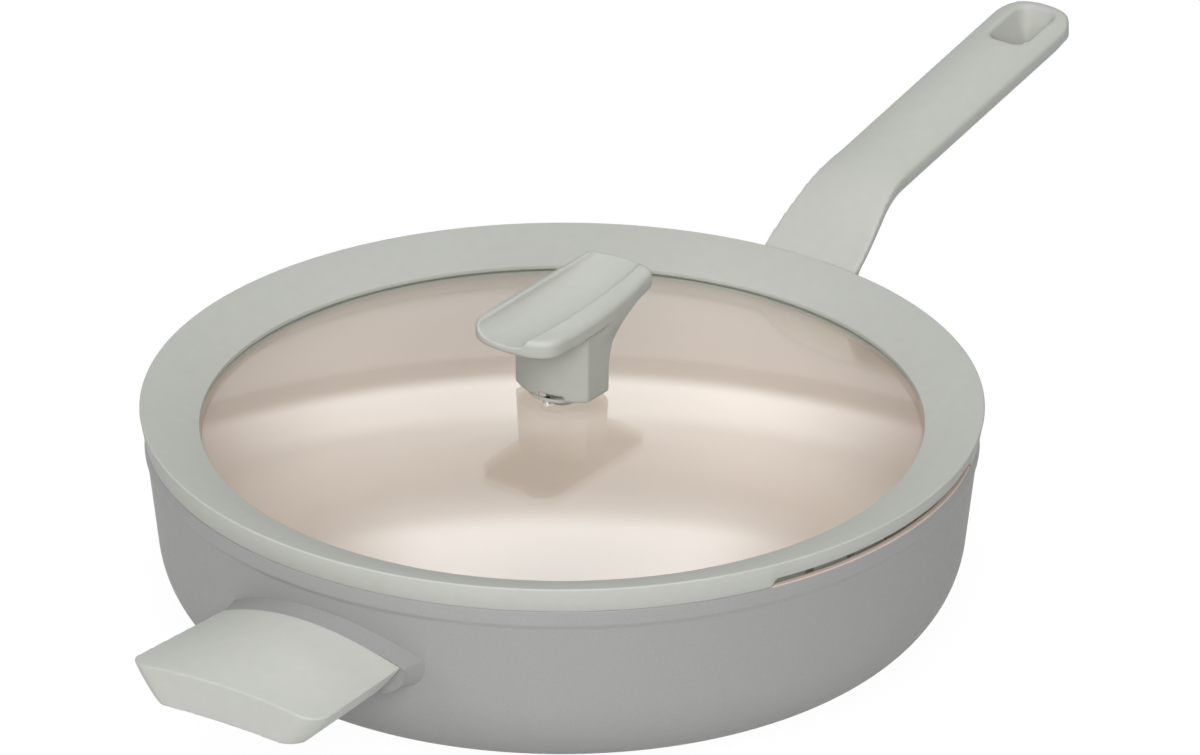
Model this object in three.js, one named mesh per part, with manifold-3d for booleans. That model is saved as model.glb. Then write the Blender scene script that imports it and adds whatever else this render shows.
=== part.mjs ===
// Covered saute pan: a cast vessel with a stick handle and a helper handle, and a domed glass lid held in
// a moulded silicone rim. Millimetres, +Z up. The origin is the centre of the base's underside, and +X
// follows the stick handle.
import * as THREE from 'three';
import { mergeVertices } from 'three/addons/utils/BufferGeometryUtils.js';
import Module from 'manifold-3d';

const wasm = await Module();
wasm.setup();

const DEG = Math.PI / 180;

// Shared fits and facet counts
const FIT = 0.3; // gap between pieces that are pressed or pushed together
const SEAT_GAP = 0.1; // gap under a face that only rests
const CUT = 2; // how far a cutter runs past the face that it opens
const BIG_SEGMENTS = 64;
const SMALL_SEGMENTS = 12;
const ARC_STEPS = 6;

// Vessel
const RIM_INNER_RADIUS = 140.2;
const RIM_WIDTH = 3;
const PAN_HEIGHT = 69.2;
const LIP_HEIGHT = 5.6;
const RIM_CHAMFER = 0.6;
const WALL_THICKNESS = 3;
const WALL_LEAN = 6.9 * DEG;
const CORNER_RADIUS = 34.4;
const FLOOR_THICKNESS = 4.5;

// Induction plate
const PLATE_RADIUS = 90;
const PLATE_THICKNESS = 1;
const PLATE_PROUD = 0.3;
const PLATE_HOLE_RADIUS = 3;
const PLATE_HOLE_RINGS = [
  { radius: 42, count: 8 },
  { radius: 74, count: 16 },
];

// Lid rim
const LID_OVERHANG = 1.8;
const SKIRT_HEIGHT = 9.4;
const RIM_TOP_WIDTH = 20.7;
const RIM_TOP_FALL = 6.9;
const RIM_EDGE_ROUND = 0.8;
const PLUG_CLEARANCE = 1.1;
const PLUG_DEPTH = 7.7;
const PLUG_WALL = 4.6;
const LIP_OVER_GLASS = 1;
const LIP_UNDER_GLASS = 1.2;
const UNDER_LIP_SETBACK = 1.2;
const NOTCH_HALF_ANGLE = 24 * DEG;
const NOTCH_HEIGHT = 3.4;
const SLIT_WIDTH = 4;
const SLIT_COUNT = 5;
const SLIT_PITCH = 8 * DEG;
const SLIT_RISE = 9;

// Lid glass
const GLASS_THICKNESS = 4;
const GLASS_GRIP = 5.7;
const DOME_RISE = 13.7;
const DOME_STEPS = 5;
const VENT_HOLE_RADIUS = 1.5;
const VENT_HOLE_REACH = 8.6;

// Knob
const KNOB_FRONT = 33.5;
const KNOB_BACK = 37;
const KNOB_HALF_WIDTH = 17.4;
const KNOB_FRONT_HALF_WIDTH = 17.4;
const KNOB_BACK_HALF_WIDTH = 14.4;
const KNOB_FRONT_BOW = 3;
const KNOB_BACK_BOW = 1.5;
const KNOB_FRONT_CORNER = 10;
const KNOB_BACK_CORNER = 5;
const KNOB_HEIGHT = 33.8;
const KNOB_TILT = 3 * DEG;
const KNOB_PLATE = 6.8;
const GROOVE_RADIUS = 25;
const GROOVE_DEPTH = 2.8;
const GROOVE_TILT = 5.3 * DEG;
const STEM_HALF_WIDTH = 15.5;
const STEM_FLAT_HALF_LENGTH = 6;
const STEM_HALF_LENGTH = 12;
const FLARE_START = 11;
const FLARE_REACH = 21;
const FLARE_LEAN = 2.6;
const FLARE_EASE = 7;
const VENT_CAVITY_RADIUS = 10.6;
const VENT_CAVITY_HEIGHT = 7;
const INSERT_BOSS_RADIUS = 6.4;
const VENT_MOUTH_WIDTH = 9.5;
const VENT_MOUTH_HEIGHT = 2.2;
const VENT_MOUTH_TURN = 17 * DEG;

// Knob fastening
const SEAT_OUTER_RADIUS = 11.8;
const SEAT_INNER_RADIUS = 10.8;
const SEAT_THICKNESS = 1.2;
const KNOB_SCREW_RADIUS = 2.5;
const KNOB_SCREW_HEAD_RADIUS = 4.5;
const KNOB_SCREW_HEAD_HEIGHT = 1.4;
const BUSH_WALL = 1.2;
const BUSH_FLANGE_RADIUS = 5.6;
const BUSH_FLANGE = 0.8;
const KNOB_WASHER_RADIUS = 5.2;
const KNOB_WASHER_THICKNESS = 0.6;
const INSERT_RADIUS = 4.6;
const INSERT_LENGTH = 12;

// Stick handle: its upper line runs up the foot, turns out just above the lid and follows the grip
const FOOT_CLEARANCE = 0.9; // between the lid and the foot
const FOOT_DROP = 33;
const FOOT_EDGE_DROP = 0.6;
const RISE_ANGLE = 37.6 * DEG;
const GRIP_ANGLE = 11.3 * DEG;
const KNEE_REACH = 25.6;
const KNEE_RADIUS = 40;
const HANDLE_LENGTH = 141.4;
const FOOT_WIDTH = 39;
const GRIP_WIDTH = 29.8;
const FOOT_DEPTH = 9;
const GRIP_DEPTH = 12;
const FOOT_BELLY = 15;
const GRIP_BELLY = 13;
const GRIP_CROWN = 2.2;
const NARROWING_LENGTH = 46;
const NOSE_LENGTH = 16;
const NOSE_DEPTH = 3;
const END_LENGTH = 13;
const END_FULLNESS = 0.62;
const EYE_LENGTH = 23.1;
const EYE_WIDTH = 15.4;
const EYE_CORNER = 5;
const EYE_DRAFT = 12 * DEG;
const EYE_FROM_END = 4;

// Stick handle lug and screws
const LUG_HALF_WIDTH = 16;
const LUG_DROP = 31;
const LUG_HEIGHT = 22;
const LUG_CORNER = 5;
const LUG_SCREW_SPACING = 11;
const LUG_SCREW_BITE = 5;

// Helper handle
const HELPER_STANDOFF = 6.1;
const HELPER_LENGTH = 47.2;
const HELPER_OUTER_HALF_WIDTH = 41.4;
const HELPER_INNER_HALF_WIDTH = 37.4;
const HELPER_EDGE_DROP = 24;
const HELPER_OUTER_CREST = 4.3;
const HELPER_INNER_CREST = 11.4;
const HELPER_DEPTH = 11.2;
const HELPER_UNDERCUT = 10;
const HELPER_SIDE_ROUND = 5;
const HELPER_SIDE_INSET = 4.4;
const HELPER_BELLY_ARCH = 1.2;
const HELPER_CORNER = 9;
const HELPER_STEPS = 4;

// Helper handle lug, tongue and screws
const HELPER_LUG_INSET = 0.8;
const HELPER_LUG_FLARE = 6.5;
const HELPER_LUG_UNDERCUT = 8;
const HELPER_LUG_SIDE_ROUND = 1.2;
const TONGUE_HALF_WIDTH = 22;
const TONGUE_THICKNESS = 7;
const TONGUE_RISE = 0.3;
const TONGUE_LENGTH = 27;
const HELPER_SCREW_SPREAD = 12;
const HELPER_SCREW_REACH = 16;
const HELPER_SCREW_BITE = 5;

// Handle screws and washers
const SCREW_RADIUS = 2;
const SCREW_HEAD_RADIUS = 3.6;
const SCREW_HEAD_HEIGHT = 2.2;
const WASHER_RADIUS = 4;
const WASHER_THICKNESS = 0.8;
const SCREW_SEAT_DEPTH = 3.4;

// Places worked out from the driving sizes
const baseZ = PLATE_PROUD;
const rimOuterRadius = RIM_INNER_RADIUS + RIM_WIDTH;
const lipBottomZ = PAN_HEIGHT - LIP_HEIGHT;
const floorZ = baseZ + FLOOR_THICKNESS;
const skirtBottomZ = PAN_HEIGHT + SEAT_GAP;
const skirtTopZ = skirtBottomZ + SKIRT_HEIGHT;
const lidRadius = rimOuterRadius + LID_OVERHANG;
const windowRadius = lidRadius - RIM_TOP_WIDTH;
const windowZ = skirtTopZ - RIM_TOP_FALL;
const glassRadius = windowRadius + GLASS_GRIP;
const glassApexZ = windowZ - LIP_OVER_GLASS - FIT + DOME_RISE;
const domeRadius = (windowRadius ** 2 + DOME_RISE ** 2) / (2 * DOME_RISE);
const plugBottomZ = skirtBottomZ - PLUG_DEPTH;
const bushRadius = KNOB_SCREW_RADIUS + FIT + BUSH_WALL;
const glassHoleRadius = bushRadius + FIT;
const seatZ = glassApexZ + SEAT_GAP;
const knobFootZ = seatZ + SEAT_THICKNESS + SEAT_GAP;
const knobTopZ = knobFootZ + KNOB_HEIGHT;
const footX = lidRadius + FOOT_CLEARANCE;
const handleEndX = footX + HANDLE_LENGTH;
const lugBottomZ = PAN_HEIGHT - LUG_DROP;
const lugEndX = footX - FIT;
const handleFoot = new THREE.Vector2(footX, skirtTopZ - FOOT_EDGE_DROP);
const screwHeights = [-1, 1].map((side) => lugBottomZ + (LUG_HEIGHT + side * LUG_SCREW_SPACING) / 2);
const helperInnerRadius = rimOuterRadius + HELPER_STANDOFF;
const helperEdgeZ = PAN_HEIGHT - HELPER_EDGE_DROP;
const helperSeatZ = helperEdgeZ - HELPER_DEPTH + SCREW_SEAT_DEPTH;
const helperScrewX = -(helperInnerRadius + HELPER_SCREW_REACH);
const helperScrewYs = [HELPER_SCREW_SPREAD, -HELPER_SCREW_SPREAD];
const tongueTopZ = helperEdgeZ + TONGUE_RISE;
const tallerThanAll = 2 * PAN_HEIGHT;

// Closed solids and boolean work

function toSolid(geometry) {
  const bare = geometry.clone();
  bare.deleteAttribute('normal');
  bare.deleteAttribute('uv');
  const merged = mergeVertices(bare, 1e-4);
  const index = merged.index.array;
  const triangles = [];
  for (let i = 0; i < index.length; i += 3) {
    const [a, b, c] = [index[i], index[i + 1], index[i + 2]];
    if (a !== b && b !== c && c !== a) triangles.push(a, b, c);
  }
  const vertProperties = new Float32Array(merged.attributes.position.array);
  const triVerts = new Uint32Array(triangles);
  return new wasm.Manifold(new wasm.Mesh({ numProp: 3, vertProperties, triVerts }));
}

function toGeometry(solid) {
  const mesh = solid.getMesh();
  const geometry = new THREE.BufferGeometry();
  geometry.setAttribute('position', new THREE.BufferAttribute(new Float32Array(mesh.vertProperties), 3));
  geometry.setIndex(new THREE.BufferAttribute(new Uint32Array(mesh.triVerts), 1));
  return geometry;
}

// A closed (radius, height) profile turned about the Z axis.
function revolve(points, segments) {
  const profile = points.map(([radius, z]) => new THREE.Vector2(radius, z));
  profile.push(profile[0].clone());
  return new THREE.LatheGeometry(profile, segments).rotateX(Math.PI / 2);
}

function revolveSolid(points, segments = SMALL_SEGMENTS) {
  return toSolid(revolve(points, segments));
}

function ringProfile(inner, outer, bottom, top) {
  return [[inner, bottom], [outer, bottom], [outer, top], [inner, top]];
}

// A plain round bar standing at a place in plan, for bores and bosses.
function bar(radius, bottom, top, segments = SMALL_SEGMENTS, x = 0, y = 0) {
  const geometry = new THREE.CylinderGeometry(radius, radius, top - bottom, segments);
  return toSolid(geometry.rotateX(Math.PI / 2).translate(x, y, (top + bottom) / 2));
}

// A round bar lying along X at Y = 0.
function barAlongX(radius, x0, x1, z) {
  const geometry = new THREE.CylinderGeometry(radius, radius, x1 - x0, SMALL_SEGMENTS);
  return toSolid(geometry.rotateZ(Math.PI / 2).translate((x0 + x1) / 2, 0, z));
}

// A box given by its low and high corners, turned about the Z axis.
function block([x0, y0, z0], [x1, y1, z1], turn = 0) {
  const geometry = new THREE.BoxGeometry(x1 - x0, y1 - y0, z1 - z0);
  geometry.translate((x0 + x1) / 2, (y0 + y1) / 2, (z0 + z1) / 2);
  return toSolid(geometry.rotateZ(turn));
}

function extrude(shape, depth) {
  return new THREE.ExtrudeGeometry(shape, { depth, bevelEnabled: false, curveSegments: ARC_STEPS });
}

// A plan outline (x, y) raised from one height to another.
function raise(shape, bottom, top) {
  return toSolid(extrude(shape, top - bottom).translate(0, 0, bottom));
}

// A side outline (x, z) widened evenly to both sides of the XZ plane.
function widen(shape, halfWidth) {
  return toSolid(extrude(shape, 2 * halfWidth).rotateX(Math.PI / 2).translate(0, halfWidth, 0));
}

function roundedRectangle(x0, x1, halfWidth, corner) {
  const shape = new THREE.Shape();
  shape.moveTo(x0 + corner, -halfWidth);
  shape.lineTo(x1 - corner, -halfWidth);
  shape.absarc(x1 - corner, -halfWidth + corner, corner, -Math.PI / 2, 0);
  shape.lineTo(x1, halfWidth - corner);
  shape.absarc(x1 - corner, halfWidth - corner, corner, 0, Math.PI / 2);
  shape.lineTo(x0 + corner, halfWidth);
  shape.absarc(x0 + corner, halfWidth - corner, corner, Math.PI / 2, Math.PI);
  shape.lineTo(x0, -halfWidth + corner);
  shape.absarc(x0 + corner, -halfWidth + corner, corner, Math.PI, 1.5 * Math.PI);
  return shape;
}

// Equal closed rings of points joined one after another, with a fan over each end.
function loft(rings) {
  const size = rings[0].length;
  const positions = [];
  const index = [];
  for (const ring of rings) {
    for (const point of ring) positions.push(point.x, point.y, point.z);
  }
  for (let r = 0; r + 1 < rings.length; r += 1) {
    for (let i = 0; i < size; i += 1) {
      const next = (i + 1) % size;
      const [a, b] = [r * size + i, r * size + next];
      index.push(a, b, b + size, a, b + size, a + size);
    }
  }
  const closeEnd = (ring, start, outward) => {
    const centre = new THREE.Vector3();
    for (const point of ring) centre.addScaledVector(point, 1 / size);
    const hub = positions.length / 3;
    positions.push(centre.x, centre.y, centre.z);
    for (let i = 0; i < size; i += 1) {
      const [a, b] = [start + i, start + ((i + 1) % size)];
      index.push(hub, outward ? a : b, outward ? b : a);
    }
  };
  closeEnd(rings[0], 0, false);
  closeEnd(rings[rings.length - 1], (rings.length - 1) * size, true);
  const geometry = new THREE.BufferGeometry();
  geometry.setAttribute('position', new THREE.Float32BufferAttribute(positions, 3));
  geometry.setIndex(index);
  return toSolid(geometry);
}

function arcPoints(centreR, centreZ, radius, fromAngle, toAngle) {
  const points = [];
  for (let i = 0; i <= ARC_STEPS; i += 1) {
    const angle = fromAngle + ((toAngle - fromAngle) * i) / ARC_STEPS;
    points.push([centreR + radius * Math.cos(angle), centreZ + radius * Math.sin(angle)]);
  }
  return points;
}

// Vessel

// Radius of the leaning wall at a height, measured a given depth out from its inner face.
function wallRadius(z, depth) {
  return RIM_INNER_RADIUS - (PAN_HEIGHT - z) * Math.tan(WALL_LEAN) + depth / Math.cos(WALL_LEAN);
}

// The rounded corner between a flat at flatZ and the wall face at the given depth.
function cornerArc(flatZ, radius, depth) {
  const centreZ = flatZ + radius;
  const touchZ = centreZ - radius * Math.sin(WALL_LEAN);
  const centreR = wallRadius(touchZ, depth) - radius * Math.cos(WALL_LEAN);
  return { centreR, centreZ, touchZ };
}

function vesselProfile() {
  const outer = cornerArc(baseZ, CORNER_RADIUS, WALL_THICKNESS);
  const innerRadius = CORNER_RADIUS - WALL_THICKNESS;
  const inner = cornerArc(floorZ, innerRadius, 0);
  const recessZ = PLATE_THICKNESS;
  const recessRadius = PLATE_RADIUS + FIT;
  return [
    [0, recessZ],
    [recessRadius, recessZ],
    [recessRadius, baseZ],
    ...arcPoints(outer.centreR, outer.centreZ, CORNER_RADIUS, -Math.PI / 2, -WALL_LEAN),
    [wallRadius(lipBottomZ, WALL_THICKNESS), lipBottomZ],
    [rimOuterRadius, lipBottomZ],
    [rimOuterRadius, PAN_HEIGHT - RIM_CHAMFER],
    [rimOuterRadius - RIM_CHAMFER, PAN_HEIGHT],
    [RIM_INNER_RADIUS + RIM_CHAMFER, PAN_HEIGHT],
    [wallRadius(PAN_HEIGHT - RIM_CHAMFER, 0), PAN_HEIGHT - RIM_CHAMFER],
    ...arcPoints(inner.centreR, inner.centreZ, innerRadius, -WALL_LEAN, -Math.PI / 2),
    [0, floorZ],
  ];
}

// What lies inside the middle of the wall. It trims the lugs, so that none reaches the cooking space.
function wallCore() {
  const low = cornerArc(baseZ, CORNER_RADIUS, WALL_THICKNESS).touchZ - CUT;
  const middle = WALL_THICKNESS / 2;
  const lowRadius = wallRadius(low, middle);
  const topRadius = wallRadius(PAN_HEIGHT, middle);
  return revolveSolid([[0, low], [lowRadius, low], [topRadius, PAN_HEIGHT], [0, PAN_HEIGHT]], BIG_SEGMENTS);
}

// The lug starts well inside the wall; panBody trims it at the middle of the wall.
function stickLug() {
  const outline = roundedRectangle(-lugBottomZ - LUG_HEIGHT, -lugBottomZ, LUG_HALF_WIDTH, LUG_CORNER);
  const start = wallRadius(lugBottomZ, 0) - CUT;
  return toSolid(extrude(outline, lugEndX - start).translate(0, 0, start).rotateY(Math.PI / 2));
}

// One cross section of the helper handle or its lug, looking along X.
const gripSide = { undercut: HELPER_UNDERCUT, inset: HELPER_SIDE_INSET, round: HELPER_SIDE_ROUND };
const lugSide = { undercut: HELPER_LUG_UNDERCUT, inset: 0, round: HELPER_LUG_SIDE_ROUND };

function helperSection(x, halfWidth, crest, side, inset = 0) {
  const top = helperEdgeZ - inset / 2;
  const bottom = top - HELPER_DEPTH + 2 * inset;
  const halfBottom = halfWidth - side.undercut;
  const steps = 2 * ARC_STEPS;
  const ring = [];
  for (let i = 0; i < steps; i += 1) {
    const share = 1 - (2 * i) / steps;
    ring.push(new THREE.Vector3(x, share * halfWidth, top + crest * (1 - share ** 2)));
  }
  const addSide = (sign) => {
    const from = new THREE.Vector2(sign * halfWidth, top);
    const to = new THREE.Vector2(sign * halfBottom, bottom);
    const control = new THREE.Vector2(sign * (halfWidth - side.inset), bottom + side.round);
    const points = new THREE.QuadraticBezierCurve(from, control, to).getPoints(HELPER_STEPS);
    return sign < 0 ? points : points.reverse();
  };
  for (const point of addSide(-1)) ring.push(new THREE.Vector3(x, point.x, point.y));
  for (const share of [-0.5, 0, 0.5]) {
    ring.push(new THREE.Vector3(x, share * halfBottom, bottom + HELPER_BELLY_ARCH * (1 - share ** 2)));
  }
  for (const point of addSide(1).slice(0, -1)) ring.push(new THREE.Vector3(x, point.x, point.y));
  return ring;
}

function helperLug() {
  const wallX = -wallRadius(lipBottomZ, 0) + 2 * CUT;
  const rings = [];
  for (let i = 0; i <= HELPER_STEPS; i += 1) {
    const share = i / HELPER_STEPS;
    const x = THREE.MathUtils.lerp(-helperInnerRadius - CUT, wallX, share);
    const halfWidth = HELPER_INNER_HALF_WIDTH - HELPER_LUG_INSET + HELPER_LUG_FLARE * share ** 2;
    rings.push(helperSection(x, halfWidth, HELPER_INNER_CREST, lugSide, HELPER_LUG_INSET));
  }
  const reach = bar(helperInnerRadius - FIT, 0, PAN_HEIGHT, BIG_SEGMENTS);
  const tongueEnd = -(helperInnerRadius + TONGUE_LENGTH);
  const tongueZ = tongueTopZ - TONGUE_THICKNESS;
  const tongue = block([tongueEnd, -TONGUE_HALF_WIDTH, tongueZ], [wallX, TONGUE_HALF_WIDTH, tongueTopZ]);
  return loft(rings).intersect(reach).add(tongue);
}

function panBody() {
  const vessel = revolveSolid(vesselProfile(), BIG_SEGMENTS);
  const lugs = stickLug().add(helperLug()).subtract(wallCore());
  let pan = vessel.add(lugs);
  const boreRadius = SCREW_RADIUS + FIT;
  for (const z of screwHeights) {
    pan = pan.subtract(barAlongX(boreRadius, lugEndX - LUG_SCREW_BITE - FIT, lugEndX + CUT, z));
  }
  const boreTop = tongueTopZ - TONGUE_THICKNESS + HELPER_SCREW_BITE + FIT;
  for (const y of helperScrewYs) {
    pan = pan.subtract(bar(boreRadius, helperEdgeZ - HELPER_DEPTH, boreTop, SMALL_SEGMENTS, helperScrewX, y));
  }
  return toGeometry(pan);
}

function basePlate() {
  let plate = bar(PLATE_RADIUS, 0, PLATE_THICKNESS, BIG_SEGMENTS);
  for (const { radius, count } of PLATE_HOLE_RINGS) {
    for (let i = 0; i < count; i += 1) {
      const angle = (2 * Math.PI * i) / count;
      const [x, y] = [radius * Math.cos(angle), radius * Math.sin(angle)];
      plate = plate.subtract(bar(PLATE_HOLE_RADIUS, -CUT, PLATE_THICKNESS + CUT, SMALL_SEGMENTS, x, y));
    }
  }
  return toGeometry(plate);
}

// Stick handle

// The upper line of the handle above its foot as a path in the XZ plane: rise, knee, grip.
function handleLine(foot) {
  const knee = new THREE.Vector2(foot.x + KNEE_REACH, foot.y + KNEE_REACH * Math.tan(RISE_ANGLE));
  const back = KNEE_RADIUS * Math.tan((RISE_ANGLE - GRIP_ANGLE) / 2);
  const along = (angle, size) => new THREE.Vector2(size * Math.cos(angle), size * Math.sin(angle));
  const kneeStart = knee.clone().sub(along(RISE_ANGLE, back));
  const kneeEnd = knee.clone().add(along(GRIP_ANGLE, back));
  const centre = kneeStart.clone().add(along(RISE_ANGLE - Math.PI / 2, KNEE_RADIUS));
  const gripLength = (handleEndX - kneeEnd.x) / Math.cos(GRIP_ANGLE);
  const path = new THREE.CurvePath();
  const [from, to] = [RISE_ANGLE + Math.PI / 2, GRIP_ANGLE + Math.PI / 2];
  path.add(new THREE.LineCurve(foot, kneeStart));
  path.add(new THREE.ArcCurve(centre.x, centre.y, KNEE_RADIUS, from, to, true));
  path.add(new THREE.LineCurve(kneeEnd, kneeEnd.clone().add(along(GRIP_ANGLE, gripLength))));
  return path;
}

// One cross section of the handle: a crowned top with a round belly under it, square to the given heading.
function handleSection(point, heading, halfWidth, depth, belly, crown) {
  const [rise, run] = [Math.sin(heading), Math.cos(heading)];
  const place = (y, up) => new THREE.Vector3(point.x - rise * up, y, point.y + run * up);
  const bellyPoint = (side, step) => {
    const angle = (step / ARC_STEPS) * (Math.PI / 2);
    return place(side * (halfWidth - belly + belly * Math.cos(angle)), -depth * Math.sin(angle));
  };
  const ring = [1, 0.5, 0, -0.5].map((share) => place(share * halfWidth, crown * (1 - share ** 2)));
  for (let step = 0; step <= ARC_STEPS; step += 1) ring.push(bellyPoint(-1, step));
  for (let step = ARC_STEPS; step > 0; step -= 1) ring.push(bellyPoint(1, step));
  return ring;
}

function handleRings() {
  const foot = handleFoot;
  const path = handleLine(foot);
  const length = path.getLength();
  const [riseEnd, kneeEnd] = path.getCurveLengths();
  const upright = Math.PI / 2;
  const turn = (upright - RISE_ANGLE) / 2;
  const toe = new THREE.Vector2(footX, PAN_HEIGHT - FOOT_DROP);
  const rings = [
    handleSection(toe, upright, FOOT_WIDTH / 2, FOOT_DEPTH, FOOT_BELLY, 0),
    handleSection(foot, upright - turn, FOOT_WIDTH / 2, FOOT_DEPTH / Math.cos(turn), FOOT_BELLY, 0),
  ];
  const steps = (from, to, count) => {
    const places = Array.from({ length: count }, (_, i) => (i + 1) / count);
    return places.map((share) => THREE.MathUtils.lerp(from, to, share));
  };
  const noseStart = length - NOSE_LENGTH;
  const distances = [
    ...steps(0, riseEnd, 3),
    ...steps(riseEnd, kneeEnd, 4),
    ...steps(kneeEnd, noseStart, 3),
    ...steps(noseStart, length, 4),
  ];
  for (const distance of distances) {
    const share = distance / length;
    const tangent = path.getTangentAt(share);
    const slim = THREE.MathUtils.smoothstep(distance, 0, NARROWING_LENGTH);
    const nose = Math.max(0, distance - noseStart) / NOSE_LENGTH;
    const gripDepth = NOSE_DEPTH + (GRIP_DEPTH - NOSE_DEPTH) * Math.sqrt(1 - nose ** 2);
    rings.push(handleSection(
      path.getPointAt(share),
      Math.atan2(tangent.y, tangent.x),
      THREE.MathUtils.lerp(FOOT_WIDTH, GRIP_WIDTH, slim) / 2,
      THREE.MathUtils.lerp(FOOT_DEPTH, gripDepth, slim),
      THREE.MathUtils.lerp(FOOT_BELLY, GRIP_BELLY, slim),
      GRIP_CROWN * slim * (1 - nose ** 2),
    ));
  }
  return rings;
}

// Plan outline that rounds off the free end: full sides that close in over the end.
function handleOutline() {
  const endStart = handleEndX - END_LENGTH;
  const half = GRIP_WIDTH / 2;
  const control = endStart + END_FULLNESS * END_LENGTH;
  const shape = new THREE.Shape();
  shape.moveTo(footX - CUT, -FOOT_WIDTH);
  shape.lineTo(endStart - CUT, -FOOT_WIDTH);
  shape.lineTo(endStart, -half);
  shape.bezierCurveTo(control, -half, handleEndX, -END_FULLNESS * half, handleEndX, 0);
  shape.bezierCurveTo(handleEndX, END_FULLNESS * half, control, half, endStart, half);
  shape.lineTo(endStart - CUT, FOOT_WIDTH);
  shape.lineTo(footX - CUT, FOOT_WIDTH);
  return shape;
}

// The hanging eye: full size at the grip's top, with walls that draw in on the way down.
function eyeCutter() {
  const endZ = handleLine(handleFoot).getPoint(1).y;
  const middle = handleEndX - EYE_FROM_END - EYE_LENGTH / 2;
  const topZ = endZ - (handleEndX - middle) * Math.tan(GRIP_ANGLE) + GRIP_CROWN;
  const reach = GRIP_DEPTH + GRIP_CROWN + CUT + (EYE_LENGTH / 2) * Math.tan(GRIP_ANGLE);
  const rings = [-1, 1].map((side) => {
    const lift = side * reach;
    const grow = lift * Math.tan(EYE_DRAFT);
    const half = EYE_LENGTH / 2 + grow;
    const shape = roundedRectangle(middle - half, middle + half, EYE_WIDTH / 2 + grow, EYE_CORNER + grow);
    const outline = shape.getPoints(ARC_STEPS).slice(0, -1);
    return outline.map((point) => new THREE.Vector3(point.x, point.y, topZ + lift));
  });
  return loft(rings);
}

function longHandle() {
  const outline = raise(handleOutline(), 0, tallerThanAll);
  let handle = loft(handleRings()).intersect(outline).subtract(eyeCutter());
  const faceX = footX + FOOT_DEPTH;
  for (const z of screwHeights) {
    handle = handle.subtract(barAlongX(SCREW_RADIUS + FIT, footX - CUT, faceX + CUT, z));
    handle = handle.subtract(barAlongX(WASHER_RADIUS + FIT, faceX - SCREW_SEAT_DEPTH, faceX + CUT, z));
  }
  return toGeometry(handle);
}

// Helper handle

function helperHandle() {
  const outerX = -(helperInnerRadius + HELPER_LENGTH);
  const innerX = -rimOuterRadius + 2 * CUT;
  const rings = [];
  for (let i = 0; i <= HELPER_STEPS; i += 1) {
    const share = i / HELPER_STEPS;
    const halfWidth = THREE.MathUtils.lerp(HELPER_OUTER_HALF_WIDTH, HELPER_INNER_HALF_WIDTH, share);
    const crest = THREE.MathUtils.lerp(HELPER_OUTER_CREST, HELPER_INNER_CREST, share);
    rings.push(helperSection(THREE.MathUtils.lerp(outerX, innerX, share), halfWidth, crest, gripSide));
  }
  const limit = roundedRectangle(outerX, 0, HELPER_OUTER_HALF_WIDTH, HELPER_CORNER);
  const pan = bar(helperInnerRadius, 0, tallerThanAll, BIG_SEGMENTS);
  const tongueZ = tongueTopZ - TONGUE_THICKNESS;
  const pocketEnd = -(helperInnerRadius + TONGUE_LENGTH + FIT);
  const pocketHalf = TONGUE_HALF_WIDTH + FIT;
  const pocket = block([pocketEnd, -pocketHalf, tongueZ - FIT], [0, pocketHalf, tongueTopZ + FIT]);
  let handle = loft(rings).intersect(raise(limit, 0, tallerThanAll)).subtract(pan).subtract(pocket);
  for (const y of helperScrewYs) {
    handle = handle.subtract(bar(SCREW_RADIUS + FIT, 0, tongueZ, SMALL_SEGMENTS, helperScrewX, y));
    handle = handle.subtract(bar(WASHER_RADIUS + FIT, 0, helperSeatZ, SMALL_SEGMENTS, helperScrewX, y));
  }
  return toGeometry(handle);
}

// Screws and washers: heads down, shank up the Z axis from the underside of the head at height 0

function screw(length, radius, headRadius, headHeight) {
  const chamfer = headHeight / 3;
  return revolve([
    [0, -headHeight],
    [headRadius - chamfer, -headHeight],
    [headRadius, chamfer - headHeight],
    [headRadius, 0],
    [radius, 0],
    [radius, length - radius / 2],
    [radius / 2, length],
    [0, length],
  ], SMALL_SEGMENTS);
}

function washer(inner, outer, thickness) {
  return revolve(ringProfile(inner, outer, 0, thickness), SMALL_SEGMENTS);
}

const handleWasher = () => washer(SCREW_RADIUS + FIT, WASHER_RADIUS, WASHER_THICKNESS);
const handleScrew = (length) => screw(length, SCREW_RADIUS, SCREW_HEAD_RADIUS, SCREW_HEAD_HEIGHT);

// Lid glass and rim

function domeZ(radius) {
  return glassApexZ - domeRadius + Math.sqrt(domeRadius ** 2 - radius ** 2);
}

function glassProfile() {
  const top = [];
  for (let i = 0; i <= DOME_STEPS; i += 1) {
    const radius = glassHoleRadius + ((windowRadius - glassHoleRadius) * i) / DOME_STEPS;
    top.push([radius, domeZ(radius)]);
  }
  top.push([glassRadius, domeZ(glassRadius)]);
  const bottom = top.map(([radius, z]) => [radius, z - GLASS_THICKNESS]);
  return [...bottom, ...top.reverse()];
}

function lidGlass() {
  const [bottom, top] = [glassApexZ - 2 * GLASS_THICKNESS, glassApexZ + CUT];
  const vent = bar(VENT_HOLE_RADIUS, bottom, top, ARC_STEPS, -VENT_HOLE_REACH);
  return toGeometry(revolveSolid(glassProfile(), BIG_SEGMENTS).subtract(vent));
}

// Outer radius of the plug, which hangs inside the leaning wall.
function plugRadius(z) {
  return wallRadius(z, 0) - PLUG_CLEARANCE;
}

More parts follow.
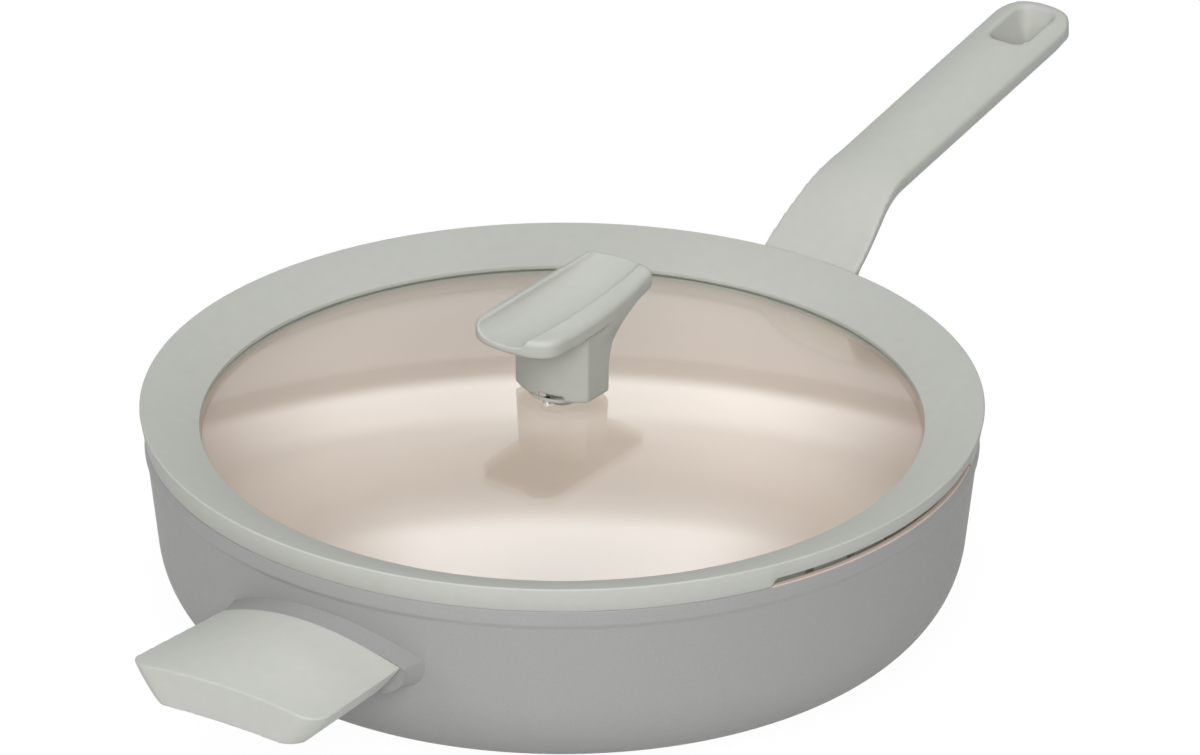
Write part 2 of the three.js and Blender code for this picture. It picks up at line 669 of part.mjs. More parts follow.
function rimProfile() {
  const slope = RIM_TOP_FALL / RIM_TOP_WIDTH;
  const grooveRadius = glassRadius + FIT;
  const underRadius = windowRadius + UNDER_LIP_SETBACK;
  const glassBottom = (radius) => domeZ(radius) - GLASS_THICKNESS - FIT;
  const plugInner = plugRadius(plugBottomZ) - PLUG_WALL;
  return [
    [underRadius, glassBottom(underRadius) - LIP_UNDER_GLASS],
    [grooveRadius, glassBottom(grooveRadius) - LIP_UNDER_GLASS],
    [plugInner, plugBottomZ],
    [plugRadius(plugBottomZ), plugBottomZ],
    [plugRadius(skirtBottomZ), skirtBottomZ],
    [rimOuterRadius, skirtBottomZ],
    [lidRadius, skirtTopZ - RIM_EDGE_ROUND],
    [lidRadius - RIM_EDGE_ROUND, skirtTopZ - slope * RIM_EDGE_ROUND],
    [windowRadius, windowZ],
    [windowRadius, domeZ(windowRadius) + FIT],
    [grooveRadius, domeZ(glassRadius) + FIT],
    [grooveRadius, glassBottom(grooveRadius)],
    [underRadius, glassBottom(underRadius)],
  ];
}

// The long low notch in the skirt over one side of the pan, with the slits that strain what is poured.
function strainerNotch(facing) {
  const inner = plugRadius(skirtBottomZ);
  const outer = lidRadius + CUT;
  const [from, to] = [facing - NOTCH_HALF_ANGLE, facing + NOTCH_HALF_ANGLE];
  const sector = new THREE.Shape();
  sector.absarc(0, 0, outer, from, to, false);
  sector.absarc(0, 0, inner, to, from, true);
  let cutter = raise(sector, skirtBottomZ - CUT, skirtBottomZ + NOTCH_HEIGHT);
  const slitStart = plugRadius(plugBottomZ) - PLUG_WALL - CUT / 2;
  const slitLow = [slitStart, -SLIT_WIDTH / 2, plugBottomZ - CUT];
  const slitHigh = [inner + CUT, SLIT_WIDTH / 2, plugBottomZ + SLIT_RISE];
  for (let i = 0; i < SLIT_COUNT; i += 1) {
    const turn = facing + (i - (SLIT_COUNT - 1) / 2) * SLIT_PITCH;
    cutter = cutter.add(block(slitLow, slitHigh, turn));
  }
  return cutter;
}

function lidRim() {
  const ring = revolveSolid(rimProfile(), BIG_SEGMENTS);
  const notches = strainerNotch(-Math.PI / 2).add(strainerNotch(Math.PI / 2));
  return toGeometry(ring.subtract(notches));
}

// Knob

// Plan outline of the saddle: bowed sides and ends, rounded corners.
function knobOutline() {
  const shape = new THREE.Shape();
  const [front, back] = [-KNOB_FRONT + KNOB_FRONT_BOW, KNOB_BACK - KNOB_BACK_BOW];
  const [frontHalf, backHalf] = [KNOB_FRONT_HALF_WIDTH, KNOB_BACK_HALF_WIDTH];
  const corner = KNOB_BACK_CORNER;
  const frontCorner = KNOB_FRONT_CORNER;
  const bulge = 2 * KNOB_HALF_WIDTH - (frontHalf + backHalf) / 2;
  const middle = (front + back) / 2;
  shape.moveTo(front + frontCorner, -frontHalf);
  shape.quadraticCurveTo(middle, -bulge, back - corner, -backHalf);
  shape.quadraticCurveTo(back, -backHalf, back, -backHalf + corner);
  shape.quadraticCurveTo(back + 2 * KNOB_BACK_BOW, 0, back, backHalf - corner);
  shape.quadraticCurveTo(back, backHalf, back - corner, backHalf);
  shape.quadraticCurveTo(middle, bulge, front + frontCorner, frontHalf);
  shape.quadraticCurveTo(front, frontHalf, front, frontHalf - frontCorner);
  shape.quadraticCurveTo(front - 2 * KNOB_FRONT_BOW, 0, front, -frontHalf + frontCorner);
  shape.quadraticCurveTo(front, -frontHalf, front + frontCorner, -frontHalf);
  return shape;
}

// Plan outline of the stem: flat sides along the saddle, bowed faces across it.
function stemOutline() {
  const flat = STEM_FLAT_HALF_LENGTH;
  const control = 2 * STEM_HALF_LENGTH - flat;
  const shape = new THREE.Shape();
  shape.moveTo(-flat, -STEM_HALF_WIDTH);
  shape.lineTo(flat, -STEM_HALF_WIDTH);
  shape.quadraticCurveTo(control, 0, flat, STEM_HALF_WIDTH);
  shape.lineTo(-flat, STEM_HALF_WIDTH);
  shape.quadraticCurveTo(-control, 0, -flat, -STEM_HALF_WIDTH);
  return shape;
}

const saddleTop = (x) => knobTopZ + x * Math.tan(KNOB_TILT);
const saddleUnder = (x) => saddleTop(x) - KNOB_PLATE;

function saddlePlate() {
  const [front, back] = [-KNOB_FRONT - CUT, KNOB_BACK + CUT];
  const side = new THREE.Shape();
  side.moveTo(front, saddleUnder(front));
  side.lineTo(back, saddleUnder(back));
  side.lineTo(back, saddleTop(back));
  side.lineTo(front, saddleTop(front));
  const plate = widen(side, KNOB_HALF_WIDTH + CUT);
  return plate.intersect(raise(knobOutline(), knobFootZ, knobTopZ + KNOB_PLATE));
}

// The web that sweeps from the back of the stem out under the saddle.
function backFlare() {
  const start = STEM_FLAT_HALF_LENGTH;
  const end = start + FLARE_REACH;
  const low = saddleUnder(0) - FLARE_START - KNOB_PLATE;
  const side = new THREE.Shape();
  side.moveTo(0, low);
  side.lineTo(start, low);
  const under = saddleUnder(0);
  side.bezierCurveTo(start + FLARE_LEAN, under - CUT, start + FLARE_EASE, under, end, saddleUnder(end));
  side.lineTo(end, saddleUnder(end) + CUT / 2);
  side.lineTo(0, saddleUnder(0) + CUT / 2);
  return widen(side, STEM_HALF_WIDTH);
}

// The round bar that leaves the groove along the saddle.
function grooveCutter() {
  const length = KNOB_FRONT + KNOB_BACK + 4 * CUT;
  const rod = new THREE.CylinderGeometry(GROOVE_RADIUS, GROOVE_RADIUS, length, BIG_SEGMENTS);
  const lift = knobTopZ + GROOVE_RADIUS - GROOVE_DEPTH;
  return toSolid(rod.rotateZ(Math.PI / 2).rotateY(-GROOVE_TILT).translate(0, 0, lift));
}

function ventCavity() {
  const top = knobFootZ + VENT_CAVITY_HEIGHT;
  const ring = ringProfile(INSERT_BOSS_RADIUS, VENT_CAVITY_RADIUS, knobFootZ - CUT, top);
  const mouthTop = knobFootZ + VENT_MOUTH_HEIGHT;
  const half = VENT_MOUTH_WIDTH / 2;
  const low = [-STEM_HALF_LENGTH - 2 * CUT, -half, knobFootZ - CUT];
  const high = [-INSERT_BOSS_RADIUS - CUT, half, mouthTop];
  return revolveSolid(ring).add(block(low, high, VENT_MOUTH_TURN));
}

function lidKnob() {
  const stem = raise(stemOutline(), knobFootZ, saddleUnder(0) + CUT / 2);
  const insertBore = bar(INSERT_RADIUS + FIT, knobFootZ - CUT, knobFootZ + INSERT_LENGTH + FIT);
  const body = saddlePlate().add(stem).add(backFlare());
  return toGeometry(body.subtract(grooveCutter()).subtract(ventCavity()).subtract(insertBore));
}

// Knob fastening

const bushFlangeTop = domeZ(BUSH_FLANGE_RADIUS) - GLASS_THICKNESS - SEAT_GAP;
const knobWasherZ = bushFlangeTop - BUSH_FLANGE - SEAT_GAP - KNOB_WASHER_THICKNESS;
const knobScrewZ = knobWasherZ - SEAT_GAP;

function knobBush() {
  const bore = KNOB_SCREW_RADIUS + FIT;
  const flangeBottom = bushFlangeTop - BUSH_FLANGE;
  return revolve([
    [bore, flangeBottom],
    [BUSH_FLANGE_RADIUS, flangeBottom],
    [BUSH_FLANGE_RADIUS, bushFlangeTop],
    [bushRadius, bushFlangeTop],
    [bushRadius, glassApexZ - SEAT_GAP],
    [bore, glassApexZ - SEAT_GAP],
  ], SMALL_SEGMENTS);
}

function knobInsert() {
  const bottom = knobFootZ + SEAT_GAP;
  const profile = ringProfile(KNOB_SCREW_RADIUS + FIT, INSERT_RADIUS, bottom, bottom + INSERT_LENGTH);
  return revolve(profile, SMALL_SEGMENTS);
}

function knobScrew() {
  const length = knobFootZ + INSERT_LENGTH - knobScrewZ;
  return screw(length, KNOB_SCREW_RADIUS, KNOB_SCREW_HEAD_RADIUS, KNOB_SCREW_HEAD_HEIGHT);
}

// Assembly

function finish(color, roughness, metalness, extra = {}) {
  return () => new THREE.MeshStandardMaterial({ color, roughness, metalness, ...extra });
}

const coatedAluminium = finish(0x9c9c9a, 0.45, 0.3);
const brushedSteel = finish(0xb9bbbd, 0.35, 1);
const phenolic = finish(0xb9bab2, 0.55, 0);
const silicone = finish(0xc3c4bc, 0.6, 0);
const clearGlass = finish(0xe9f1ee, 0.05, 0, { transparent: true, opacity: 0.35 });
const brass = finish(0xb59a56, 0.35, 1);

const part = new THREE.Group();
part.name = 'covered_saute_pan';

function add(name, geometry, material, place = {}) {
  const mesh = new THREE.Mesh(geometry, material());
  mesh.name = name;
  if (place.position) mesh.position.set(...place.position);
  if (place.rotation) mesh.rotation.set(...place.rotation);
  part.add(mesh);
}

add('pan_body', panBody(), coatedAluminium);
add('base_plate', basePlate(), brushedSteel);
add('long_handle', longHandle(), phenolic);
add('helper_handle', helperHandle(), phenolic);

const towardsPan = [0, -Math.PI / 2, 0];
const footSeatX = footX + FOOT_DEPTH - SCREW_SEAT_DEPTH;
const footScrewX = footSeatX + 2 * SEAT_GAP + WASHER_THICKNESS;
const footScrewLength = footScrewX - lugEndX + LUG_SCREW_BITE;
['lower', 'upper'].forEach((level, i) => {
  const z = screwHeights[i];
  const washerPlace = { position: [footScrewX - SEAT_GAP, 0, z], rotation: towardsPan };
  const screwPlace = { position: [footScrewX, 0, z], rotation: towardsPan };
  add(`long_handle_washer_${level}`, handleWasher(), brushedSteel, washerPlace);
  add(`long_handle_screw_${level}`, handleScrew(footScrewLength), brushedSteel, screwPlace);
});

const helperWasherZ = helperSeatZ - SEAT_GAP - WASHER_THICKNESS;
const helperScrewZ = helperWasherZ - SEAT_GAP;
const helperScrewLength = tongueTopZ - TONGUE_THICKNESS + HELPER_SCREW_BITE - helperScrewZ;
['left', 'right'].forEach((side, i) => {
  const y = helperScrewYs[i];
  const washerPlace = { position: [helperScrewX, y, helperWasherZ] };
  const screwPlace = { position: [helperScrewX, y, helperScrewZ] };
  add(`helper_handle_washer_${side}`, handleWasher(), brushedSteel, washerPlace);
  add(`helper_handle_screw_${side}`, handleScrew(helperScrewLength), brushedSteel, screwPlace);
});

add('lid_glass', lidGlass(), clearGlass);
add('lid_rim', lidRim(), silicone);
add('lid_knob', lidKnob(), phenolic);
const seatProfile = ringProfile(SEAT_INNER_RADIUS, SEAT_OUTER_RADIUS, 0, SEAT_THICKNESS);
add('knob_seat', revolve(seatProfile, 2 * SMALL_SEGMENTS), silicone, { position: [0, 0, seatZ] });
add('knob_insert', knobInsert(), brass);
add('knob_bush', knobBush(), silicone);
const clampWasher = washer(KNOB_SCREW_RADIUS + FIT, KNOB_WASHER_RADIUS, KNOB_WASHER_THICKNESS);
add('knob_washer', clampWasher, brushedSteel, { position: [0, 0, knobWasherZ] });
add('knob_screw', knobScrew(), brushedSteel, { position: [0, 0, knobScrewZ] });

export default part;
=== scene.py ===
"""Covered saute pan with a glass lid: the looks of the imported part.

Sizes are in millimetres inside the classes and become metres when a mesh is finished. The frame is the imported
part's own: +Z up, +X along the stick handle, and the origin at the centre of the base.
"""

import logging
import math
from dataclasses import dataclass
from enum import Enum
from functools import lru_cache
from typing import Callable, Optional, Sequence, Union

import bmesh
import bpy
from mathutils import Matrix, Vector


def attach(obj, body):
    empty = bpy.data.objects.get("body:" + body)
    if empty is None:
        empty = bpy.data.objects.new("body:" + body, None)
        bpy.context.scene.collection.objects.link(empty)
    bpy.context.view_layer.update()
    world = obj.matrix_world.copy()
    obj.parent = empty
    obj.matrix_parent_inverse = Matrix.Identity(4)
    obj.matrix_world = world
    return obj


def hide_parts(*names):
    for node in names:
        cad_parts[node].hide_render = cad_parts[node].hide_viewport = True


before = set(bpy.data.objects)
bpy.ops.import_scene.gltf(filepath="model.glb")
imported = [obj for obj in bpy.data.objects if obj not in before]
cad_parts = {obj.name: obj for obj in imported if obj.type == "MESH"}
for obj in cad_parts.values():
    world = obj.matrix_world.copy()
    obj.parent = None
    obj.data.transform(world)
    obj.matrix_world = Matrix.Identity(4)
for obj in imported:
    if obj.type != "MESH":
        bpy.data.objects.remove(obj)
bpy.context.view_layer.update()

log = logging.getLogger("pan")

MM = 0.001
WELD = 1e-4
SLIVER = 1e-5
WHITE = (1.0, 1.0, 1.0, 1.0)

Point2 = tuple[float, float]
Ring = list[Vector]
Socket = bpy.types.NodeSocket
Dressed = Union[bpy.types.Material, bpy.types.World]


class Body(Enum):
    """The two bodies that pieces ride on."""

    PAN = "pan"
    LID = "lid"


class Slot(Enum):
    """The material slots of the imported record."""

    COAT = "coated_aluminium"
    PLATE = "induction_steel"
    PHENOLIC = "handle_phenolic"
    SILICONE = "rim_silicone"
    GLASS = "lid_glass"
    STEEL = "fastener_steel"
    BRASS = "insert_brass"


class Combine(Enum):
    """How one solid works on another."""

    JOIN = "UNION"
    CUT = "DIFFERENCE"
    KEEP = "INTERSECT"


def lerp(start: float, end: float, share: float) -> float:
    """Gives the value a share of the way from start to end."""
    return start + (end - start) * share


def through(start: float, middle: float, end: float, share: float) -> float:
    """Gives the value a share along a parabola that passes the middle value half way."""
    control = 2 * middle - (start + end) / 2
    return lerp(lerp(start, control, share), lerp(control, end, share), share)


def pointing(angle: float) -> Vector:
    """Gives the plane direction at an angle."""
    return Vector((math.cos(angle), math.sin(angle)))


def ease(value: float, low: float, high: float) -> float:
    """Gives a smooth step from 0 at low to 1 at high."""
    share = min(1.0, max(0.0, (value - low) / (high - low)))
    return share * share * (3.0 - 2.0 * share)


def arc(centre: Point2, radius: float, start: float, end: float, steps: int) -> list[Point2]:
    """Works out points on a circular arc.

    Args:
        centre: Centre of the arc.
        radius: Its radius.
        start: First angle in radians.
        end: Last angle in radians.
        steps: Number of chords.

    Returns:
        The points from the first angle to the last.
    """
    angles = [lerp(start, end, i / steps) for i in range(steps + 1)]
    return [(centre[0] + radius * math.cos(a), centre[1] + radius * math.sin(a)) for a in angles]


def bezier(points: Sequence[Point2], steps: int) -> list[Point2]:
    """Works out points on a Bezier curve of any degree.

    Args:
        points: The control points.
        steps: Number of chords.

    Returns:
        The points from the first control point to the last.
    """
    line = []
    for i in range(steps + 1):
        level = list(points)
        while len(level) > 1:
            pairs = zip(level, level[1:])
            level = [(lerp(a[0], b[0], i / steps), lerp(a[1], b[1], i / steps)) for a, b in pairs]
        line.append(level[0])
    return line


def rounded_rectangle(low: Point2, high: Point2, corner: float, steps: int = 10) -> list[Point2]:
    """Works out a rectangle with round corners.

    Args:
        low: Low corner.
        high: High corner.
        corner: Radius of the corners.
        steps: Number of chords in each corner.

    Returns:
        The closed outline, anticlockwise, without a repeated point.
    """
    (x0, y0), (x1, y1) = low, high
    quarter = math.pi / 2
    left, right, bottom, top = x0 + corner, x1 - corner, y0 + corner, y1 - corner
    centres = [(right, top), (left, top), (left, bottom), (right, bottom)]
    return [p for i, c in enumerate(centres) for p in arc(c, corner, i * quarter, (i + 1) * quarter, steps)]


def without_repeats(outline: Sequence[Point2], least: float = 1e-3) -> list[Point2]:
    """Drops points of a closed outline that lie on their neighbour."""
    return [p for p, q in zip(outline, [outline[-1], *outline[:-1]]) if math.dist(p, q) > least]


def inset_outline(outline: Sequence[Point2], by: float) -> list[Point2]:
    """Draws a closed outline inwards.

    Args:
        outline: The points, anticlockwise.
        by: How far each point moves square to the outline.

    Returns:
        The smaller outline, point for point.
    """
    made = []
    for i, (x, y) in enumerate(outline):
        before, after = outline[i - 1], outline[(i + 1) % len(outline)]
        run, rise = after[0] - before[0], after[1] - before[1]
        size = math.hypot(run, rise)
        made.append((x - by * rise / size, y + by * run / size))
    return made


class Workpiece:
    """A mesh in the making, in millimetres."""

    def __init__(self, mesh: Optional[bpy.types.Mesh] = None) -> None:
        """Starts empty, or from a mesh.

        Args:
            mesh: The mesh to take over, which is then removed.
        """
        self.bm = bmesh.new()
        if mesh is not None:
            self.take_in(mesh)

    def turn(self, profile: Sequence[Point2], steps: int) -> "Workpiece":
        """Spins a closed (radius, height) profile round the Z axis.

        Args:
            profile: The profile's points, without a repeated point.
            steps: Number of facets round the axis.

        Returns:
            This workpiece.
        """
        verts = [self.bm.verts.new((max(radius, 0.0), 0.0, height)) for radius, height in profile]
        edges = [self.bm.edges.new(pair) for pair in zip(verts, [*verts[1:], verts[0]])]
        bmesh.ops.spin(self.bm, geom=verts + edges, cent=(0, 0, 0), axis=(0, 0, 1), angle=2 * math.pi,
                       steps=steps, use_merge=True)
        bmesh.ops.remove_doubles(self.bm, verts=self.bm.verts, dist=WELD)
        bmesh.ops.dissolve_degenerate(self.bm, edges=self.bm.edges, dist=SLIVER)
        loose = [e for e in self.bm.edges if not e.link_faces]
        bmesh.ops.delete(self.bm, geom=loose, context="EDGES")
        return self

    def loft(self, rings: Sequence[Ring]) -> "Workpiece":
        """Bridges equal closed rings one after another and closes both ends.

        Args:
            rings: The rings, each with the same number of points.

        Returns:
            This workpiece.
        """
        loops = []
        for ring in rings:
            verts = bmesh.ops.create_circle(self.bm, segments=len(ring), radius=1.0)["verts"]
            for vert, place in zip(verts, ring):
                vert.co = place
            loops.append((verts, list({e for v in verts for e in v.link_edges})))
        for (_, first), (_, second) in zip(loops, loops[1:]):
            bmesh.ops.bridge_loops(self.bm, edges=first + second)
        for verts, _ in (loops[0], loops[-1]):
            self.bm.faces.new(verts)
        return self

    def raise_outline(
        self,
        outline: Sequence[Point2],
        bottom: Callable[[float, float], float],
        top: Callable[[float, float], float],
    ) -> "Workpiece":
        """Extrudes a plan outline between two surfaces.

        Args:
            outline: Closed outline in x and y.
            bottom: Height of the lower surface at x, y.
            top: Height of the upper surface at x, y.

        Returns:
            This workpiece.
        """
        base = [self.bm.verts.new((x, y, bottom(x, y))) for x, y in outline]
        face = self.bm.faces.new(base)
        made = bmesh.ops.extrude_face_region(self.bm, geom=[face])["geom"]
        for vert in (g for g in made if isinstance(g, bmesh.types.BMVert)):
            vert.co.z = top(vert.co.x, vert.co.y)
        return self

    def block(self, low: Sequence[float], high: Sequence[float], edge: float = 0.0) -> "Workpiece":
        """Adds a box with rounded edges.

        Args:
            low: Low corner.
            high: High corner.
            edge: Radius of its edges, 0 for sharp ones.

        Returns:
            This workpiece.
        """
        verts = bmesh.ops.create_cube(self.bm, size=1.0)["verts"]
        size = [h - l for l, h in zip(low, high)]
        middle = [(h + l) / 2 for l, h in zip(low, high)]
        bmesh.ops.scale(self.bm, vec=size, verts=verts)
        bmesh.ops.translate(self.bm, vec=middle, verts=verts)
        if edge > 0:
            edges = list({e for v in verts for e in v.link_edges})
            bmesh.ops.bevel(self.bm, geom=edges, offset=edge, affect="EDGES", segments=3, profile=0.5,
                            material=-1)
        return self

    def rod(self, radius: float, start: Vector, end: Vector, facets: int) -> "Workpiece":
        """Adds a round bar between two points.

        Args:
            radius: Radius of the bar.
            start: Centre of one end.
            end: Centre of the other end.
            facets: Number of facets round it.

        Returns:
            This workpiece.
        """
        along = end - start
        place = Matrix.Translation((start + end) / 2) @ along.to_track_quat("Z", "Y").to_matrix().to_4x4()
        bmesh.ops.create_cone(self.bm, cap_ends=True, segments=facets, radius1=radius, radius2=radius,
                              depth=along.length, matrix=place)
        return self

    def post(self, radius: float, place: Sequence[float], low: float, high: float,
             facets: int) -> "Workpiece":
        """Adds an upright round bar at a place in plan."""
        return self.rod(radius, Vector((*place, low)), Vector((*place, high)), facets)

    def take_in(self, mesh: bpy.types.Mesh) -> "Workpiece":
        """Takes over a mesh, which is then removed."""
        self.bm.from_mesh(mesh)
        bpy.data.meshes.remove(mesh)
        return self

    def move(self, matrix: Matrix) -> "Workpiece":
        """Turns and shifts the whole workpiece by a matrix."""
        bmesh.ops.transform(self.bm, matrix=matrix, verts=self.bm.verts)
        return self

    def tint(self, index: int, chosen: Callable[[Vector], bool]) -> "Workpiece":
        """Gives a material index to the faces whose centre is chosen."""
        for face in self.bm.faces:
            if chosen(face.calc_center_median()):
                face.material_index = index
        return self

    def facing_out(self) -> "Workpiece":
        """Turns every face outwards."""
        bmesh.ops.recalc_face_normals(self.bm, faces=self.bm.faces)
        return self

    def to_mesh(self, name: str) -> bpy.types.Mesh:
        """Writes the workpiece into a new mesh and lets go of it."""
        mesh = bpy.data.meshes.new(name)
        self.bm.to_mesh(mesh)
        self.bm.free()
        return mesh


def stand(name: str, data: bpy.types.ID) -> bpy.types.Object:
    """Puts an object with its data into the scene."""
    thing = bpy.data.objects.new(name, data)
    bpy.context.scene.collection.objects.link(thing)
    return thing


class Clay:
    """A solid that is joined, cut and then moulded into one soft-edged mesh."""

    def __init__(self, work: Workpiece) -> None:
        """Starts from a closed workpiece."""
        self.solid = self._stand(work)

    @staticmethod
    def _stand(work: Workpiece) -> bpy.types.Object:
        """Puts a workpiece into the scene for a moment."""
        return stand("clay", work.facing_out().to_mesh("clay"))

    @staticmethod
    def _clear(thing: bpy.types.Object) -> None:
        """Takes a solid out of the scene again."""
        mesh = thing.data
        bpy.data.objects.remove(thing)
        if mesh.users == 0:
            bpy.data.meshes.remove(mesh)

    def _apply(self) -> None:
        """Makes the result of the modifiers the solid's own mesh."""
        graph = bpy.context.evaluated_depsgraph_get()
        mesh = bpy.data.meshes.new_from_object(self.solid.evaluated_get(graph))
        old = self.solid.data
        self.solid.modifiers.clear()
        self.solid.data = mesh
        bpy.data.meshes.remove(old)

    def work(self, how: Combine, *tools: Workpiece) -> "Clay":
        """Works on the solid with other ones in turn.

        Args:
            how: Whether they are joined on, cut out, or what is kept.
            tools: The other solids.

        Returns:
            This clay.
        """
        for tool in tools:
            other = self._stand(tool)
            step = self.solid.modifiers.new("Work", "BOOLEAN")
            step.operation, step.object, step.solver = how.value, other, "EXACT"
            self._apply()
            self._clear(other)
        return self

    def mould(self, grain: float, passes: int) -> Workpiece:
        """Remeshes the solid finely and eases its edges.

        Args:
            grain: Mesh size.
            passes: Number of easing passes, which sets how round the edges become.

        Returns:
            The moulded workpiece.
        """
        remesh = self.solid.modifiers.new("Mould", "REMESH")
        remesh.mode, remesh.voxel_size, remesh.adaptivity = "VOXEL", grain, 0.0
        smooth = self.solid.modifiers.new("Ease", "SMOOTH")
        smooth.factor, smooth.iterations = 0.5, passes
        return self.take()

    def take(self) -> Workpiece:
        """Gives the solid as a workpiece and clears it away."""
        self._apply()
        mesh = self.solid.data.copy()
        self._clear(self.solid)
        return Workpiece(mesh)


def linear(rgb: Sequence[int]) -> tuple[float, float, float, float]:
    """Turns a colour as seen, 0 to 255, into the linear values that shaders take."""
    parts = [c / 255 for c in rgb]
    lit = [c / 12.92 if c <= 0.04045 else ((c + 0.055) / 1.055) ** 2.4 for c in parts]
    return (lit[0], lit[1], lit[2], 1.0)


def shade(rgb: Sequence[int], by: float) -> tuple[float, float, float, float]:
    """Gives a seen colour as linear values, made lighter or darker by a factor."""
    red, green, blue, _ = linear(rgb)
    return (min(1.0, red * by), min(1.0, green * by), min(1.0, blue * by), 1.0)


def grey(level: float) -> tuple[float, float, float, float]:
    """Gives a neutral colour in linear values."""
    return (level, level, level, 1.0)


class NodeSheet:
    """The nodes of one material or of the sky."""

    def __init__(self, owner: Dressed) -> None:
        """Empties the node tree of its owner."""
        self.owner = owner
        self.owner.use_nodes = True
        self.tree = owner.node_tree
        self.tree.nodes.clear()

    def feed(self, socket: Socket, value: object) -> None:
        """Links a socket to another one, or gives it a constant."""
        if isinstance(value, Socket):
            self.tree.links.new(value, socket)
        else:
            socket.default_value = value

    def add(self, kind: str, **values: object) -> bpy.types.Node:
        """Adds a node and sets its own properties or its sockets.

        Args:
            kind: Type of the node, without the Shader prefix.
            values: Properties by attribute name, and sockets by name with underscores for spaces.

        Returns:
            The node.
        """
        node = self.tree.nodes.new("Shader" + kind)
        for key, value in values.items():
            if hasattr(node, key):
                setattr(node, key, value)
            else:
                self.feed(node.inputs[key.replace("_", " ")], value)
        return node

    def chain(self, kind: str, *sources: object, **values: object) -> Socket:
        """Adds a node that follows on from others.

        Args:
            kind: Type of the node, without the Shader prefix.
            sources: What its first sockets take, in order.
            values: Its other values, as for add.

        Returns:
            Its first output.
        """
        node = self.add(kind, **values)
        for socket, source in zip(node.inputs, sources):
            self.feed(socket, source)
        return node.outputs[0]

    def place(self, stretch: Sequence[float] = (1, 1, 1)) -> Socket:
        """Gives the piece's own coordinates, stretched."""
        coords = self.add("NodeTexCoord").outputs["Object"]
        return self.chain("NodeMapping", coords, Scale=tuple(stretch))

    def noise(self, vector: Socket, scale: float, detail: float) -> Socket:
        """Gives a noise pattern with so many features to the metre."""
        return self.add("NodeTexNoise", Vector=vector, Scale=scale, Detail=detail).outputs["Fac"]

    def ramp(self, fac: Socket, low: Sequence[float], high: Sequence[float], start: float = 0.35,
             end: float = 0.65) -> Socket:
        """Blends two colours by a pattern.

        Args:
            fac: The pattern.
            low: Colour where the pattern is low.
            high: Colour where it is high.
            start: Pattern value at the low colour.
            end: Pattern value at the high colour.

        Returns:
            The colour.
        """
        node = self.add("NodeValToRGB", Fac=fac)
        first, last = node.color_ramp.elements
        first.position, last.position = start, end
        first.color, last.color = tuple(low), tuple(high)
        return node.outputs["Color"]

    def spread(self, fac: Socket, middle: float, less: float, more: float) -> Socket:
        """Spreads a pattern over a range of values round a middle."""
        return self.chain("NodeMapRange", fac, From_Min=0.3, From_Max=0.7, To_Min=middle - less,
                          To_Max=middle + more)

    def bump(self, height: Socket, strength: float, depth: float) -> Socket:
        """Raises the surface by a pattern, depth in millimetres."""
        return self.add("NodeBump", Strength=strength, Distance=depth * MM, Height=height).outputs["Normal"]

    def close(self, shader: Socket, output: str = "NodeOutputMaterial") -> Dressed:
        """Links the shader to the output and gives the owner."""
        self.add(output, Surface=shader)
        return self.owner

    def surface(self, **values: object) -> bpy.types.Material:
        """Closes the sheet with a principled shader."""
        return self.close(self.chain("NodeBsdfPrincipled", **values))


@dataclass(frozen=True)
class Finish:
    """Something that pieces are dressed with, in a colour as seen and for a slot of the record."""

    name: str
    slot: Slot
    colour: tuple[int, int, int]

    def dress(self, sheet: NodeSheet) -> bpy.types.Material:
        """Makes the material on an empty sheet."""
        raise NotImplementedError

    def tones(self, sheet: NodeSheet, fac: Socket, low: float, high: float, start: float = 0.35,
              end: float = 0.65) -> Socket:
        """Blends a darker and a lighter shade of the colour by a pattern."""
        return sheet.ramp(fac, shade(self.colour, low), shade(self.colour, high), start, end)


@dataclass(frozen=True)
class MouldedFinish(Finish):
    """Matt moulded plastic or silicone: faint mottling, a fine grain and patchy gloss."""

    roughness: float
    grain: float
    depth: float = 0.02
    mottle: float = 0.012
    cloud: float = 220.0
    patch: float = 25.0

    def dress(self, sheet: NodeSheet) -> bpy.types.Material:
        """Makes the material on an empty sheet."""
        place = sheet.place()
        cloud = sheet.noise(place, self.cloud, 4.0)
        return sheet.surface(
            IOR=1.47,
            Base_Color=self.tones(sheet, cloud, 1 - self.mottle, 1 + self.mottle),
            Roughness=sheet.spread(sheet.noise(place, self.patch, 2.0), self.roughness, 0.04, 0.05),
            Normal=sheet.bump(sheet.noise(place, self.grain, 2.0), 0.35, self.depth),
        )


@dataclass(frozen=True)
class SprayFinish(Finish):
    """Sprayed and baked metal coat: a low orange peel with fine dust in it."""

    roughness: float
    dust: float = 2600.0
    peel: float = 420.0

    def dress(self, sheet: NodeSheet) -> bpy.types.Material:
        """Makes the material on an empty sheet."""
        place = sheet.place()
        peel = sheet.noise(place, self.peel, 1.0)
        return sheet.surface(
            IOR=1.5,
            Base_Color=self.tones(sheet, sheet.noise(place, self.dust, 1.0), 0.94, 1.06, 0.3, 0.7),
            Roughness=sheet.spread(peel, self.roughness, 0.03, 0.04),
            Normal=sheet.bump(peel, 0.12, 0.05),
        )


@dataclass(frozen=True)
class GlazeFinish(Finish):
    """Cream ceramic glaze: warm, faintly clouded, smooth with a soft gloss."""

    roughness: float
    cloud: float = 14.0
    flow: float = 22.0

    def dress(self, sheet: NodeSheet) -> bpy.types.Material:
        """Makes the material on an empty sheet."""
        place = sheet.place()
        return sheet.surface(
            IOR=1.5,
            Coat_Weight=0.15,
            Coat_Roughness=0.3,
            Base_Color=self.tones(sheet, sheet.noise(place, self.cloud, 1.0), 0.985, 1.015, 0.3, 0.7),
            Roughness=sheet.spread(sheet.noise(place, self.flow, 1.0), self.roughness, 0.02, 0.03),
        )


